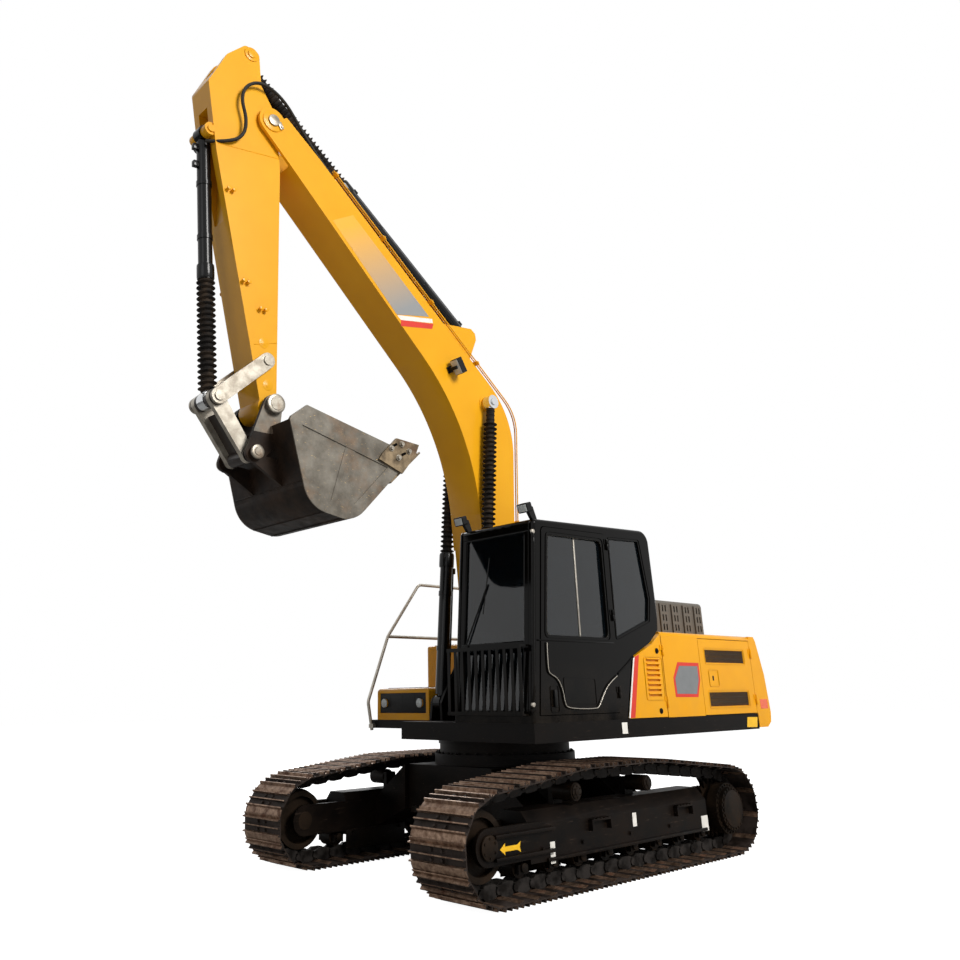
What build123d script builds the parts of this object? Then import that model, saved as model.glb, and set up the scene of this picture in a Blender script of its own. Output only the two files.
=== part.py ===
from build123d import *
import math
import os

# Crawler excavator of the 22 tonne class. X is forward, Y to the machine's left, Z up.
# Everything is laid out from the swing axis at X 0 and is moved at the end, so that the
# middle of the machine's box stands over the origin. All sizes are in millimetres.

# Running clearances
CLEAR = 5.0              # between pieces that move past each other
SEAT = 0.3               # between a curved face and its seat
FIT = 0.3                # radial play of a pin in its bore
BEYOND = 4000.0          # a cut that runs past everything

# Tracks
GAUGE = 2380.0           # between the middles of the two tracks
SHOE_W = 600.0
SHOE_COUNT = 46
SHOE_PLATE = 10.0
GROUSER_H = 26.0
GROUSER_W = 16.0
GROUSER_TIP_W = 10.0
GROUSERS = (-62.0, 0.0, 62.0)      # place of each grouser along its shoe
LINK_H = 105.0
LINK_W = 170.0           # over the two rails of the chain
RAIL_GAP = 60.0          # between the rails, where the sprocket's teeth come up
IDLER_X = 1655.0
SPROCKET_X = -1700.0
IDLER_R = 258.5
SPROCKET_R = 252.0
CARRIER_R = 70.0
CARRIERS = ((566.0, 700.0), (-445.0, 700.0))     # X and Z of each carrier roller
ROLLER_R = 78.0
ROLLER_COUNT = 8
ROLLER_FIRST_X = 1230.0
ROLLER_LAST_X = -1290.0
ROLLER_AXLE_R = 38.0
ROLLER_BLOCK = 110.0
CARRIER_IN = 60.0        # inner and outer ends of a carrier roller from the track's middle
CARRIER_OUT = 150.0
ROLLER_HALF = 80.0
TREAD_H = SHOE_PLATE + GROUSER_H
IDLER_Z = IDLER_R + LINK_H + TREAD_H
SPROCKET_Z = SPROCKET_R + LINK_H + TREAD_H
IDLER_AXLE_R = 75.0
SPROCKET_TEETH = 21
ROLLER_Z = TREAD_H + LINK_H + ROLLER_R

# Track frames, car body and swing ring
FRAME_OUT = 170.0        # outer face of a track frame from the middle of its track
FRAME_IN = 170.0
FRAME_BOTTOM = 240.0
FRAME_SIDE_TOP = 500.0
FRAME_TOP = 600.0
FRAME_SHOULDER = 90.0    # how far the sloped shoulder reaches in
FRAME_FRONT_X = 1190.0
FRAME_REAR_X = -1340.0
YOKE_T = 40.0
YOKE_R = 130.0
HUB_R = 190.0
HUB_OUT = 235.0          # outer face of the final drive from the middle of its track
DRIVE_R = 225.0          # its drum, outside the chain
MOTOR_R = 150.0
BODY_LEN = 1500.0
BODY_W = 1160.0
BODY_BOTTOM = 460.0
BODY_TOP = 850.0
LEG_W = 330.0
LEG_X = 640.0
RING_R = 640.0
RING_TOP = 1085.0
RING_H = 140.0
PEDESTAL_R = 690.0
TOW_R = 28.0             # upright holes in the two tow lugs at the front of the middle frame
TOW_LUG_R = 70.0
TOW_T = 45.0
TOW_X = 860.0
TOW_Y = 320.0

# Turntable
DECK_BOTTOM = RING_TOP + SEAT
DECK_TOP = 1240.0
UPPER_HALF = 1360.0      # half of the upper structure's width
DECK_REAR_X = -2570.0
DECK_FRONT_LEFT_X = 1060.0
DECK_FRONT_MID_X = 1010.0
DECK_FRONT_RIGHT_X = 620.0
DECK_MID_HALF = 390.0
DECK_INSET = 8.0
DECK_STEP_T = 80.0       # the right front corner is only a step plate this thick
CHEEK_REAR_X = -700.0
CHEEK_T = 30.0           # the two upright plates that carry the boom
FOOT_HALF = 200.0        # half width of the boom at its foot
FOOT_X = 165.0
FOOT_Z = 1935.0
FOOT_R = 160.0
PIN_R = 45.0
RAM_FOOT_X = 560.0       # where the boom cylinders stand
RAM_FOOT_Z = 1400.0
RAM_BOSS_R = 50.0
RAM_EAR_R = 70.0
RAM_EAR_T = 30.0

# Boom, in its own frame: U from the foot pin to the nose pin, V square to that, upward
BOOM_LEN = 5704.0
BOOM_ANGLE = 58.23
BOOM_HALF = 220.0
BOOM_TOP_KNEE = (1932.0, 1541.0)
BOOM_TOP_KNEE_R = 870.0
BOOM_BOTTOM_KNEE = (2067.0, 855.0)
BOOM_BOTTOM_KNEE_R = 2400.0
NOSE_R = 150.0
NOSE_TOP_U = 5250.0
NOSE_TOP_V = 383.0
NOSE_LIP = (5722.0, 196.0)
NOSE_CHEEK_T = 34.0
NARROW_U = 950.0         # the boom is as narrow as its foot up to here
PIN_OUT = 14.0
FORK_R = 470.0           # the nose fork is open to the stick within this radius
BOOM_RAM = (2206.0, 1196.0)        # pin of the boom cylinders
STICK_RAM = (2950.0, 1550.0)       # pin of the stick cylinder's foot
BRACKET_R = 90.0
BRACKET_T = 40.0
BOSS_R = 60.0            # bosses beside a cylinder's eye

# Stick, in its own frame: S from the nose pin to the bucket pin, T square to that, forward
STICK_LEN = 2921.0
STICK_ANGLE = -93.08
STICK_HALF = 165.0
STICK_CORNER_R = 60.0
STICK_BOSS_R = 135.0
STICK_END_R = 105.0
STICK_ROD_PIN = (-720.0, 220.0)
STICK_FORK_S = -375.0    # its upper end is open to the rod's eye up to here
BUCKET_RAM = (300.0, 630.0)
ROCKER_PIN = (STICK_LEN - 421.0, 30.0)
COMMON_PIN = (STICK_LEN - 21.0, 505.0)
POCKET = (40.0, 1180.0, 430.0)      # S from, S to and T of the floor under the bucket cylinder

# Bucket, in its own frame: P from its pin to the tooth tips, Q square to that, to its back
BUCKET_R = 1472.0
BUCKET_ANGLE = -170.34
BUCKET_HALF = 550.0
BUCKET_T = 22.0
BUCKET_LINK_PIN = (-80.0, 477.0)
BUCKET_BACK_TOP = (8.0, 205.0)
BUCKET_HEEL = (343.0, 875.0)
BUCKET_FLOOR = (826.0, 875.0)
BUCKET_LIP = (1232.0, 286.0)
BUCKET_HEEL_R = 290.0
BUCKET_SIDE_TOP = ((19.0, 170.0), (146.0, 24.0), (1180.0, 62.0))   # upper edge of its sides
BUCKET_RIB = ((617.0, 235.0), (724.0, 240.0), (674.0, 790.0), (554.0, 785.0))
STRIP_T = 10.0           # wear strips stand out this much on its sides
WEAR_W = 110.0           # width of the wear strip along the heel
BEAM_TO = 296.0          # the beam under its back and the gussets end here, from its upper edge
GUSSET_TO = 540.0
BEAM_EDGE = (200.0, 262.0)
PIN_EAR_R = 92.0
LINK_EAR_R = 84.0
EAR_T = 40.0
ROCKER_T = 34.0
ROCKER_R = 72.0
LINK_BAR_Y = 105.0
LINK_BAR_T = 50.0
LINK_HEAD_R = 75.0
LINK_HUB_R = 65.0
LINK_WEB_T = 26.0
LINK_WEB_FROM = 130.0    # the plate between its bars starts this far below the common pin
CUTTER_T = 25.0
CUTTER = ((977.0, 243.0), (1006.0, 175.0), (1139.0, -17.0), (1414.0, -46.0), (1388.0, 68.0),
          (1264.0, 289.0))
TOOTH_COUNT = 5
TOOTH_W = 80.0
TOOTH_T = 70.0
TOOTH_BACK = 120.0       # how far a tooth's fork reaches back over the lip
TOOTH_TIP = 8.0

# Cylinders: each row gives barrel radius, rod radius, eye half width, eye radius, bellows
# radius, barrel length from the foot pin
BOOM_CYL = dict(barrel=65.0, rod=42.0, eye_half=45.0, eye_r=75.0, bellows=75.0, length=1480.0)
STICK_CYL = dict(barrel=75.0, rod=48.0, eye_half=58.0, eye_r=85.0, bellows=88.0, length=2210.0)
BUCKET_CYL = dict(barrel=65.0, rod=42.0, eye_half=55.0, eye_r=80.0, bellows=85.0, length=1480.0)
BELLOWS_PITCH = 62.0
BELLOWS_FOLD = 22.0
PISTON_IN = 370.0        # how far the rod still reaches into its barrel at rest
BARREL_END = 25.0        # closed end of the barrel's bore
GLAND_R = 8.0            # the gland stands out this much round its barrel
GLAND_LEN = 140.0
RAM_Y = 305.0            # the boom cylinders stand this far from the middle
CYL_PIN_R = 38.0

# Cab
CAB_Y0 = 392.0
CAB_Y1 = 1352.0
CAB_WALL = 55.0
CAB_FRONT_X = 1055.0
CAB_ROOF_FRONT_X = 925.0
CAB_ROOF_FRONT_Z = 2950.0
CAB_ROOF_REAR_Z = 3020.0
CAB_REAR_X = -880.0
CAB_LOW_REAR_X = -235.0
CAB_KNEE_Z = 1350.0      # above it the front leans back
CAB_FRONT_R = 45.0
CAB_REAR_R = 130.0
POST_W = 60.0
DOOR_PROUD = 8.0
DOOR_CORNER_R = 45.0
GLASS_IN = 20.0          # depth of the panes behind the cab's faces
DOOR_GAP = 6.0
DOOR_REAR_X = -115.0
DOOR_BOTTOM_Z = DECK_TOP + CAB_WALL
GLASS_T = 8.0
SEAT_X = -50.0           # rear of the seat's cushion
SEAT_W = 500.0
FRONT_PANES_Z = ((1340.0, 1840.0), (1900.0, 2840.0))
REAR_PANE_Z = (2140.0, 2800.0)
RIGHT_PANES = (((760.0, 1400.0), (700.0, 2830.0), (60.0, 2840.0), (60.0, 1400.0)),
               ((-20.0, 1960.0), (-20.0, 2840.0), (-720.0, 2870.0), (-760.0, 2150.0)))
QUARTER_PANE = ((-175.0, 1950.0), (-175.0, 2870.0), (-650.0, 2890.0), (-740.0, 2330.0),
                (-700.0, 2130.0))
HATCH_X = (-250.0, 500.0)
DOOR_PANE = ((-30.0, 1945.0), (845.0, 1945.0), (755.0, 2820.0), (-30.0, 2835.0))
DOOR_FRONT_X = 985.0     # foot of the door's front edge, and its head
DOOR_HEAD = (835.0, 2890.0)
DOOR_REAR_Z = 2915.0
CAB_STEP = ((-395.0, 1795.0), (-700.0, 1925.0), (-845.0, 2045.0))   # the cab's stepped rear foot
CAB_REAR_Z = 2330.0
GUARD_OUT = 60.0         # guard before the lower windscreen
GUARD_Z = (1300.0, 1865.0)
GUARD_BAR = 16.0
GUARD_SLAT = 34.0
GUARD_BARS = 11
GUARD_LEAN = (CAB_FRONT_X - CAB_ROOF_FRONT_X) / (CAB_ROOF_FRONT_Z - CAB_KNEE_Z)
CAB_EDGE_R = 32.0        # rounding of the cab's side edges
LAMPS_Y = (455.0, 1290.0)
LAMP_Z = 3048.0
LAMP_W = 120.0
LAMP_H = 84.0
LAMP_D = 64.0
LAMP_TILT = 18.0
LAMP_FOOT_W = 36.0

# Hinges: knuckles stacked on one axis, each with a leaf on its own panel
HINGE_R = 11.0
HINGE_OUT = 12.0         # the axis stands this far off the door's face
HINGE_LEN = 50.0
LEAF = 34.0
LEAF_BITE = 5.0          # how deep a leaf reaches into its knuckle
DOOR_HINGES_Z = (1420.0, 2100.0, 2760.0)
COVER_HINGES_Z = (1330.0, 1800.0)
LID_HINGES_Y = (-350.0, 650.0)

# Covers behind the cab
HOOD_TOP = 2030.0
HOOD_EDGE_R = 38.0
ENGINE_X0 = -2350.0
ENGINE_LEN = 850.0
ENGINE_Y0 = -700.0
ENGINE_W = 1150.0
ENGINE_TOP = 1860.0
PANEL_T = 45.0
PANEL_FRONT_X = -870.0
PANEL_SEAM_X = -1530.0
PANEL_REAR_X = -2560.0
PANEL_GAP = 6.0
GRILLES_Z = ((1320.0, 1460.0), (1745.0, 1875.0))   # bottom and top of each grille
GRILLE_X = -1645.0
GRILLE_LEN = 765.0
GRILLE_DEPTH = 15.0
LOUVRES = 8
LOUVRE_X = -590.0
LOUVRE_LEN = 205.0
LOUVRE_Z = 1430.0
LOUVRE_STEP = 45.0
LOUVRE_H = 20.0
LOUVRE_DEPTH = 18.0
COWL_X0 = -2480.0
COWL_X1 = -1530.0
COWL_Y0 = -520.0
COWL_Y1 = 900.0
COWL_TOP = 2415.0
COWL_WALL = 30.0
COWL_CORNER_R = 60.0
COWL_EDGE_R = 40.0
COWL_RIBS = 4            # upright ribs on each end of the cowl
COWL_RIB_X = -1655.0
COWL_RIB_STEP = 225.0
COWL_RIB_W = 150.0
COWL_RIB_OUT = 20.0
COWL_SLOT_ROWS = 3
COWL_SLOT = (24.0, 66.0)
COWL_SLOT_STEP = (54.0, 98.0)
COWL_SLOT_Z = 2130.0
WEIGHT_REAR_X = -2960.0
WEIGHT_CORNER_X = -2846.0
# Height and inward lean of each section of the counterweight
WEIGHT_LEAN = ((1100.0, 100.0), (1150.0, 20.0), (1240.0, 0.0), (1630.0, 34.0), (1980.0, 130.0),
               (HOOD_TOP, 165.0))
LIFT_R = 17.5            # tapped lifting holes in its top
LIFT_DEPTH = 90.0
LIFT_SPACING = 1300.0
LIFT_X = -2690.0
TANK_FRONT_X = -190.0
TANK_SPLIT_X = -560.0
TANK_REAR_X = -1100.0
TANK_IN_Y = -480.0
TANK_TOP = 2000.0
TANK_EDGE_R = 50.0
RAIL_R = 17.0            # handrail on the right
RAIL_Y = -1300.0
RAIL_TOP = 2680.0
RAIL_MID = 2090.0
RAIL_REAR_X = -900.0
RAIL_FRONT_X = 700.0
RAIL_BEND_R = 90.0
TOOLBOX_TOP = 1545.0
TOOLBOX_IN_Y = -430.0
TOOLBOX_OUT_Y = -1245.0
TOOLBOX_EDGE_R = 35.0
TOOLBOX_PANEL_Z = (1305.0, 1500.0)
TOOLBOX_PANEL_IN = 45.0  # the sunk panel ends this far inside its sides
TOOLBOX_PANEL_D = 6.0
DECK_LAMP_R = 42.0
DECK_LAMP_D = 22.0

# Pipes along the top of the boom, two on each side, and its work lamp
PIPE_R = 14.0
PIPES_Y = (150.0, 186.0)
PIPE_UP = 24.0           # middle of a pipe above the boom's top
PIPE_FROM = 560.0        # along the boom's own axis
PIPE_TO = 5060.0
CLAMP_W = 30.0
CLAMP_SIDE = 22.0
CLAMPS_LOW = (0.12, 0.62)          # places along the two straight runs, as shares of each
CLAMPS_HIGH = (0.10, 0.38, 0.66, 0.94)
WORK_LAMP = (2720.0, 895.0)
WORK_LAMP_W = 110.0
WORK_LAMP_L = 170.0
WORK_LAMP_H = 84.0
WORK_LAMP_ARM = 36.0
WORK_LAMP_Y = 318.0


def box(x0, x1, y0, y1, z0, z1):
    """A block given by its six sides."""
    return Pos((x0 + x1) / 2, (y0 + y1) / 2, (z0 + z1) / 2) * Box(x1 - x0, y1 - y0, z1 - z0)


def shaft(x, z, r, y0, y1):
    """A round bar across the machine."""
    return Pos(x, (y0 + y1) / 2, z) * Rot(90, 0, 0) * Cylinder(r, y1 - y0)


def outline(points, rounds=()):
    """A flat face in the plane of X and Z, with some corners rounded by (x, z, radius)."""
    face = make_face(Polyline(*[(x, 0, z) for x, z in points], close=True).edges()).face()
    for x, z, radius in rounds:
        corner = min(face.vertices(), key=lambda v: (v.X - x) ** 2 + (v.Z - z) ** 2)
        face = face.fillet_2d(radius, [corner])
    return face


def plate(points, y0, y1, rounds=()):
    """A plate of that outline, standing along the machine from y0 to y1."""
    solid = extrude(outline(points, rounds), amount=y1 - y0, dir=(0, 1, 0))
    return Pos(0, y0, 0) * solid


def place(origin, angle):
    """Frame of an arm whose own X axis lies at that angle in the plane of X and Z."""
    return Pos(origin[0], 0, origin[1]) * Rot(0, -angle, 0)


def point(origin, angle, at):
    """X and Z in the machine of a point given in an arm's own frame."""
    c, s = math.cos(math.radians(angle)), math.sin(math.radians(angle))
    return (origin[0] + at[0] * c - at[1] * s, origin[1] + at[0] * s + at[1] * c)


def heading(a, b):
    """Length and angle of the line from a to b in the plane of X and Z."""
    return math.hypot(b[0] - a[0], b[1] - a[1]), math.degrees(math.atan2(b[1] - a[1], b[0] - a[0]))


def hinge_half(x, y_axis, y_face, toward, heights):
    """Knuckles of an upright hinge, and the leaves that join them to a panel's face."""
    side = math.copysign(1.0, y_axis - y_face)
    y0, y1 = sorted((y_face, y_axis - side * (HINGE_R - LEAF_BITE)))
    x0, x1 = sorted((x, x + toward * LEAF))
    whole = None
    for z in heights:
        half = Pos(x, y_axis, z + HINGE_LEN / 2) * Cylinder(HINGE_R, HINGE_LEN)
        half += box(x0, x1, y0, y1, z, z + HINGE_LEN)
        whole = half if whole is None else whole + half
    return whole


def raised(heights):
    """Heights of the upper knuckles, those on the moving leaf."""
    return [z + HINGE_LEN + SEAT for z in heights]


def hull_of(circles, y0, y1):
    """A flat bar round two or three circles given as (x, z, radius), by its tangents."""
    solid = None
    for i, (x, z, r) in enumerate(circles):
        disc = shaft(x, z, r, y0, y1)
        solid = disc if solid is None else solid + disc
        x2, z2, r2 = circles[(i + 1) % len(circles)]
        length, angle = heading((x, z), (x2, z2))
        lean = math.degrees(math.asin((r - r2) / length))
        pts = []
        for side, (cx, cz, cr) in ((1, (x, z, r)), (1, (x2, z2, r2)),
                                   (-1, (x2, z2, r2)), (-1, (x, z, r))):
            a = math.radians(angle + side * (90 - lean))
            pts.append((cx + cr * math.cos(a), cz + cr * math.sin(a)))
        solid = solid + plate(pts, y0, y1)
    return solid


# Main points of the arms at rest

FOOT = (FOOT_X, FOOT_Z)
NOSE = point(FOOT, BOOM_ANGLE, (BOOM_LEN, 0))
BUCKET_PIN = point(NOSE, STICK_ANGLE, (STICK_LEN, 0))
RAM_FOOT = (RAM_FOOT_X, RAM_FOOT_Z)
RAM_HEAD = point(FOOT, BOOM_ANGLE, BOOM_RAM)
STICK_RAM_FOOT = point(FOOT, BOOM_ANGLE, STICK_RAM)
STICK_RAM_HEAD = point(NOSE, STICK_ANGLE, STICK_ROD_PIN)
BUCKET_RAM_FOOT = point(NOSE, STICK_ANGLE, BUCKET_RAM)
ROCKER_AT = point(NOSE, STICK_ANGLE, ROCKER_PIN)
COMMON_AT = point(NOSE, STICK_ANGLE, COMMON_PIN)
LINK_AT = point(BUCKET_PIN, BUCKET_ANGLE, BUCKET_LINK_PIN)


# Tracks

def loop_path():
    """The line of the track pins as (kind, data) runs round idler, sprocket and carriers."""
    half = LINK_H / 2
    wheels = [(IDLER_X, IDLER_Z, IDLER_R + half)]
    wheels += [(x, z, CARRIER_R + half) for x, z in CARRIERS]
    wheels += [(SPROCKET_X, SPROCKET_Z, SPROCKET_R + half)]
    runs = []
    count = len(wheels)
    leave = []
    for i in range(count):
        x, z, r = wheels[i]
        x2, z2, r2 = wheels[(i + 1) % count]
        length, angle = heading((x, z), (x2, z2))
        a = math.radians(angle - 90 + math.degrees(math.asin((r - r2) / length)))
        leave.append(((x + r * math.cos(a), z + r * math.sin(a)),
                      (x2 + r2 * math.cos(a), z2 + r2 * math.sin(a)), a))
    for i in range(count):
        x, z, r = wheels[i]
        a0 = leave[i - 1][2]
        turn = (leave[i][2] - a0) % (2 * math.pi)
        runs.append(("arc", (x, z, r, a0, turn)))
        runs.append(("line", (leave[i][0], leave[i][1])))
    return runs


def loop_point(runs, s):
    """The point at the length s along the loop."""
    for kind, data in runs:
        if kind == "arc":
            x, z, r, a0, turn = data
            length = r * turn
            if s <= length:
                a = a0 + s / r
                return (x + r * math.cos(a), z + r * math.sin(a))
        else:
            (x0, z0), (x1, z1) = data
            length = math.hypot(x1 - x0, z1 - z0)
            if s <= length:
                k = s / length
                return (x0 + (x1 - x0) * k, z0 + (z1 - z0) * k)
        s -= length
    kind, data = runs[0]
    return (data[0] + data[2] * math.cos(data[3]), data[1] + data[2] * math.sin(data[3]))


def run_length(run):
    kind, data = run
    if kind == "arc":
        return data[2] * data[4]
    return math.hypot(data[1][0] - data[0][0], data[1][1] - data[0][1])


def track_pins():
    """The chain's pins, evenly spaced along the loop."""
    runs = loop_path()
    total = sum(run_length(run) for run in runs)
    return [loop_point(runs, total * k / SHOE_COUNT) for k in range(SHOE_COUNT)]


def ring_at(pins, out):
    """Corners of the closed line that runs at that distance outside the pins."""
    corners = []
    for k, pin in enumerate(pins):
        _, before = heading(pins[k - 1], pin)
        _, after = heading(pin, pins[(k + 1) % len(pins)])
        half_turn = math.radians((after - before + 180.0) % 360.0 - 180.0) / 2
        a = math.radians(before) + half_turn
        reach = out / math.cos(half_turn)
        corners.append((pin[0] + reach * math.sin(a), pin[1] - reach * math.cos(a)))
    return corners


def room_inside(x, z):
    """Largest radius about a point that stays a seat's width inside the chain."""
    ring = ring_at(track_pins(), -LINK_H / 2)
    least = math.inf
    for (x0, z0), (x1, z1) in zip(ring, ring[1:] + ring[:1]):
        dx, dz = x1 - x0, z1 - z0
        k = max(0.0, min(1.0, ((x - x0) * dx + (z - z0) * dz) / (dx * dx + dz * dz)))
        least = min(least, math.hypot(x0 + k * dx - x, z0 + k * dz - z))
    return least - SEAT


def track(side):
    """One track: its shoes with three grousers each, and the two rails that carry them."""
    pins = track_pins()
    half = LINK_H / 2
    low, high = half + SHOE_PLATE, half + TREAD_H
    profile = []
    for g in GROUSERS:
        profile += [(g - GROUSER_W / 2, low), (g - GROUSER_TIP_W / 2, high),
                    (g + GROUSER_TIP_W / 2, high), (g + GROUSER_W / 2, low)]
    outer = []
    for a, b in zip(pins, pins[1:] + pins[:1]):
        _, angle = heading(a, b)
        c, s = math.cos(math.radians(angle)), math.sin(math.radians(angle))
        mx, mz = (a[0] + b[0]) / 2, (a[1] + b[1]) / 2
        outer += [(mx + u * c + v * s, mz + u * s - v * c) for u, v in profile]
    under, inner = ring_at(pins, half), ring_at(pins, -half)
    y = side * GAUGE / 2
    whole = plate(outer, y - SHOE_W / 2, y + SHOE_W / 2)
    whole -= plate(under, y - SHOE_W, y + SHOE_W)
    for s in (-1, 1):
        y0, y1 = sorted((y + s * RAIL_GAP / 2, y + s * LINK_W / 2))
        whole += plate(under, y0, y1) - plate(inner, y - LINK_W, y + LINK_W)
    return whole


def idler(side):
    """Front idler: dished both ways, with a flange between the rails, on its axle."""
    y = side * GAUGE / 2
    r = room_inside(IDLER_X, IDLER_Z)
    tread_half = LINK_W / 2 + CLEAR
    wheel = shaft(IDLER_X, IDLER_Z, r, y - tread_half, y + tread_half)
    for s in (-1, 1):
        y0, y1 = sorted((y + s * tread_half / 2, y + s * SHOE_W))
        wheel -= shaft(IDLER_X, IDLER_Z, r - 45.0, y0, y1)
    wheel += shaft(IDLER_X, IDLER_Z, r + 18.0, y - RAIL_GAP / 2 + CLEAR, y + RAIL_GAP / 2 - CLEAR)
    return wheel + shaft(IDLER_X, IDLER_Z, IDLER_AXLE_R, y - FRAME_OUT - 2.0, y + FRAME_OUT + 2.0)


def sprocket(side):
    """Rear sprocket with its teeth between the rails, the final drive and its motor."""
    y = side * GAUGE / 2
    r = room_inside(SPROCKET_X, SPROCKET_Z)
    root, tip = r - 20.0, r + 34.0
    pts = []
    for k in range(SPROCKET_TEETH):
        for share, at in ((0.0, root), (0.30, root), (0.46, tip), (0.84, tip)):
            a = 2 * math.pi * (k + share) / SPROCKET_TEETH
            pts.append((SPROCKET_X + at * math.cos(a), SPROCKET_Z + at * math.sin(a)))
    tooth_half = RAIL_GAP / 2 - CLEAR
    wheel = plate(pts, y - tooth_half, y + tooth_half)
    for r, near, far in ((HUB_R, 0.0, HUB_OUT), (DRIVE_R, LINK_W / 2 + CLEAR, HUB_OUT - 40.0),
                         (MOTOR_R, 0.0, -FRAME_IN - 30.0)):
        y0, y1 = sorted((y + side * near, y + side * far))
        wheel += shaft(SPROCKET_X, SPROCKET_Z, r, y0, y1)
    return wheel


def track_frame(side):
    """Side frame: a box with a sloped shoulder, open below over its rollers."""
    y = side * GAUGE / 2
    section = [(-FRAME_IN, FRAME_BOTTOM), (FRAME_OUT, FRAME_BOTTOM), (FRAME_OUT, FRAME_SIDE_TOP),
               (FRAME_OUT - FRAME_SHOULDER, FRAME_TOP), (-FRAME_IN + 40.0, FRAME_TOP),
               (-FRAME_IN, FRAME_TOP - 60.0)]
    face = make_face(Polyline(*[(0, y + side * v, z) for v, z in section], close=True).edges())
    beam = Pos(FRAME_REAR_X, 0, 0) * extrude(face.face(), amount=FRAME_FRONT_X - FRAME_REAR_X,
                                             dir=(1, 0, 0))
    # Channel for the rollers and the blocks that hold their axles
    channel = ROLLER_HALF + CLEAR
    top = ROLLER_Z + ROLLER_R + CLEAR
    beam -= box(FRAME_REAR_X - 10.0, FRAME_FRONT_X + 500.0, y - channel, y + channel,
                FRAME_BOTTOM - 10.0, top)
    for x in roller_places():
        for s in (-1, 1):
            y0, y1 = sorted((y + s * channel, y + s * (channel + 40.0)))
            beam += box(x - ROLLER_BLOCK / 2, x + ROLLER_BLOCK / 2, y0, y1,
                        ROLLER_Z - ROLLER_AXLE_R - CLEAR, FRAME_BOTTOM + 1.0)
    # Yoke of the idler
    for s in (-1, 1):
        y0, y1 = sorted((y + s * (FRAME_OUT - YOKE_T), y + s * FRAME_OUT))
        beam += hull_of([(FRAME_FRONT_X - YOKE_R, IDLER_Z, YOKE_R - 5.0),
                         (IDLER_X, IDLER_Z, YOKE_R)], y0, y1)
    # Bracket of the final drive
    y0, y1 = sorted((y - side * FRAME_IN, y - side * (FRAME_IN - 50.0)))
    reach = MOTOR_R + 30.0
    beam += plate([(FRAME_REAR_X + 40.0, FRAME_BOTTOM), (FRAME_REAR_X + 40.0, FRAME_TOP - 60.0),
                   (SPROCKET_X, SPROCKET_Z + reach), (SPROCKET_X - reach, SPROCKET_Z + reach / 2),
                   (SPROCKET_X - reach, SPROCKET_Z - reach / 2),
                   (SPROCKET_X, SPROCKET_Z - reach)], y0, y1)
    beam -= shaft(SPROCKET_X, SPROCKET_Z, MOTOR_R + SEAT, y - SHOE_W / 2, y + SHOE_W / 2)
    beam -= shaft(IDLER_X, IDLER_Z, IDLER_AXLE_R + SEAT, y - SHOE_W / 2, y + SHOE_W / 2)
    # Posts of the carrier rollers
    for x, z in CARRIERS:
        y0, y1 = sorted((y - side * CARRIER_IN, y - side * (CARRIER_IN + 50.0)))
        beam += box(x - CARRIER_R + 10.0, x + CARRIER_R - 10.0, y0, y1, FRAME_TOP - 1.0, z + 45.0)
    return beam


def roller_places():
    """X of each bottom roller."""
    step = (ROLLER_LAST_X - ROLLER_FIRST_X) / (ROLLER_COUNT - 1)
    return [ROLLER_FIRST_X + k * step for k in range(ROLLER_COUNT)]


def track_rollers(side):
    """Bottom rollers under the side frame, each with the axle that seats on its blocks."""
    y = side * GAUGE / 2
    channel = ROLLER_HALF + CLEAR
    return [shaft(x, ROLLER_Z, ROLLER_R - SEAT, y - ROLLER_HALF, y + ROLLER_HALF)
            + shaft(x, ROLLER_Z, ROLLER_AXLE_R, y - channel, y + channel) for x in roller_places()]


def carrier_rollers(side):
    """Two rollers that carry the upper run, held from their inner ends."""
    y = side * GAUGE / 2
    found = []
    for x, z in CARRIERS:
        y0, y1 = sorted((y - side * CARRIER_IN, y + side * CARRIER_OUT))
        found.append(shaft(x, z, min(CARRIER_R, room_inside(x, z)), y0, y1))
    return found


def car_body():
    """Middle frame with the drum under the swing ring and the tow lugs."""
    body = box(-BODY_LEN / 2, BODY_LEN / 2, -BODY_W / 2, BODY_W / 2, BODY_BOTTOM, BODY_TOP)
    drum = RING_TOP - RING_H - BODY_TOP
    body += Pos(0, 0, BODY_TOP + drum / 2) * Cylinder(PEDESTAL_R, drum)
    for sy in (-1, 1):
        y, top = sy * TOW_Y, BODY_BOTTOM + TOW_T
        body += box(BODY_LEN / 2 - TOW_LUG_R, TOW_X, y - TOW_LUG_R, y + TOW_LUG_R, BODY_BOTTOM, top)
        body += Pos(TOW_X, y, BODY_BOTTOM + TOW_T / 2) * Cylinder(TOW_LUG_R, TOW_T)
        body -= Pos(TOW_X, y, BODY_BOTTOM + TOW_T / 2) * Cylinder(TOW_R, TOW_T)
    return body


def frame_legs():
    """Four legs that reach from the middle frame down to the side frames."""
    inner = GAUGE / 2 - FRAME_IN
    pts = [(BODY_W / 2, BODY_TOP), (BODY_W / 2, BODY_BOTTOM), (inner, FRAME_BOTTOM + 40.0),
           (inner, FRAME_TOP - 60.0)]
    legs = []
    for sy in (-1, 1):
        face = make_face(Polyline(*[(0, sy * v, z) for v, z in pts], close=True).edges()).face()
        leg = extrude(face, amount=LEG_W, dir=(1, 0, 0))
        legs += [Pos(sx * LEG_X - LEG_W / 2, 0, 0) * leg for sx in (-1, 1)]
    return legs


def swing_ring():
    """Toothed race between the lower frame and the deck, plain outside."""
    ring = Pos(0, 0, RING_TOP - RING_H / 2) * Cylinder(RING_R, RING_H)
    return ring - Pos(0, 0, RING_TOP - RING_H / 2) * Cylinder(RING_R - 120.0, RING_H * 2)


# Upper structure

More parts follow.
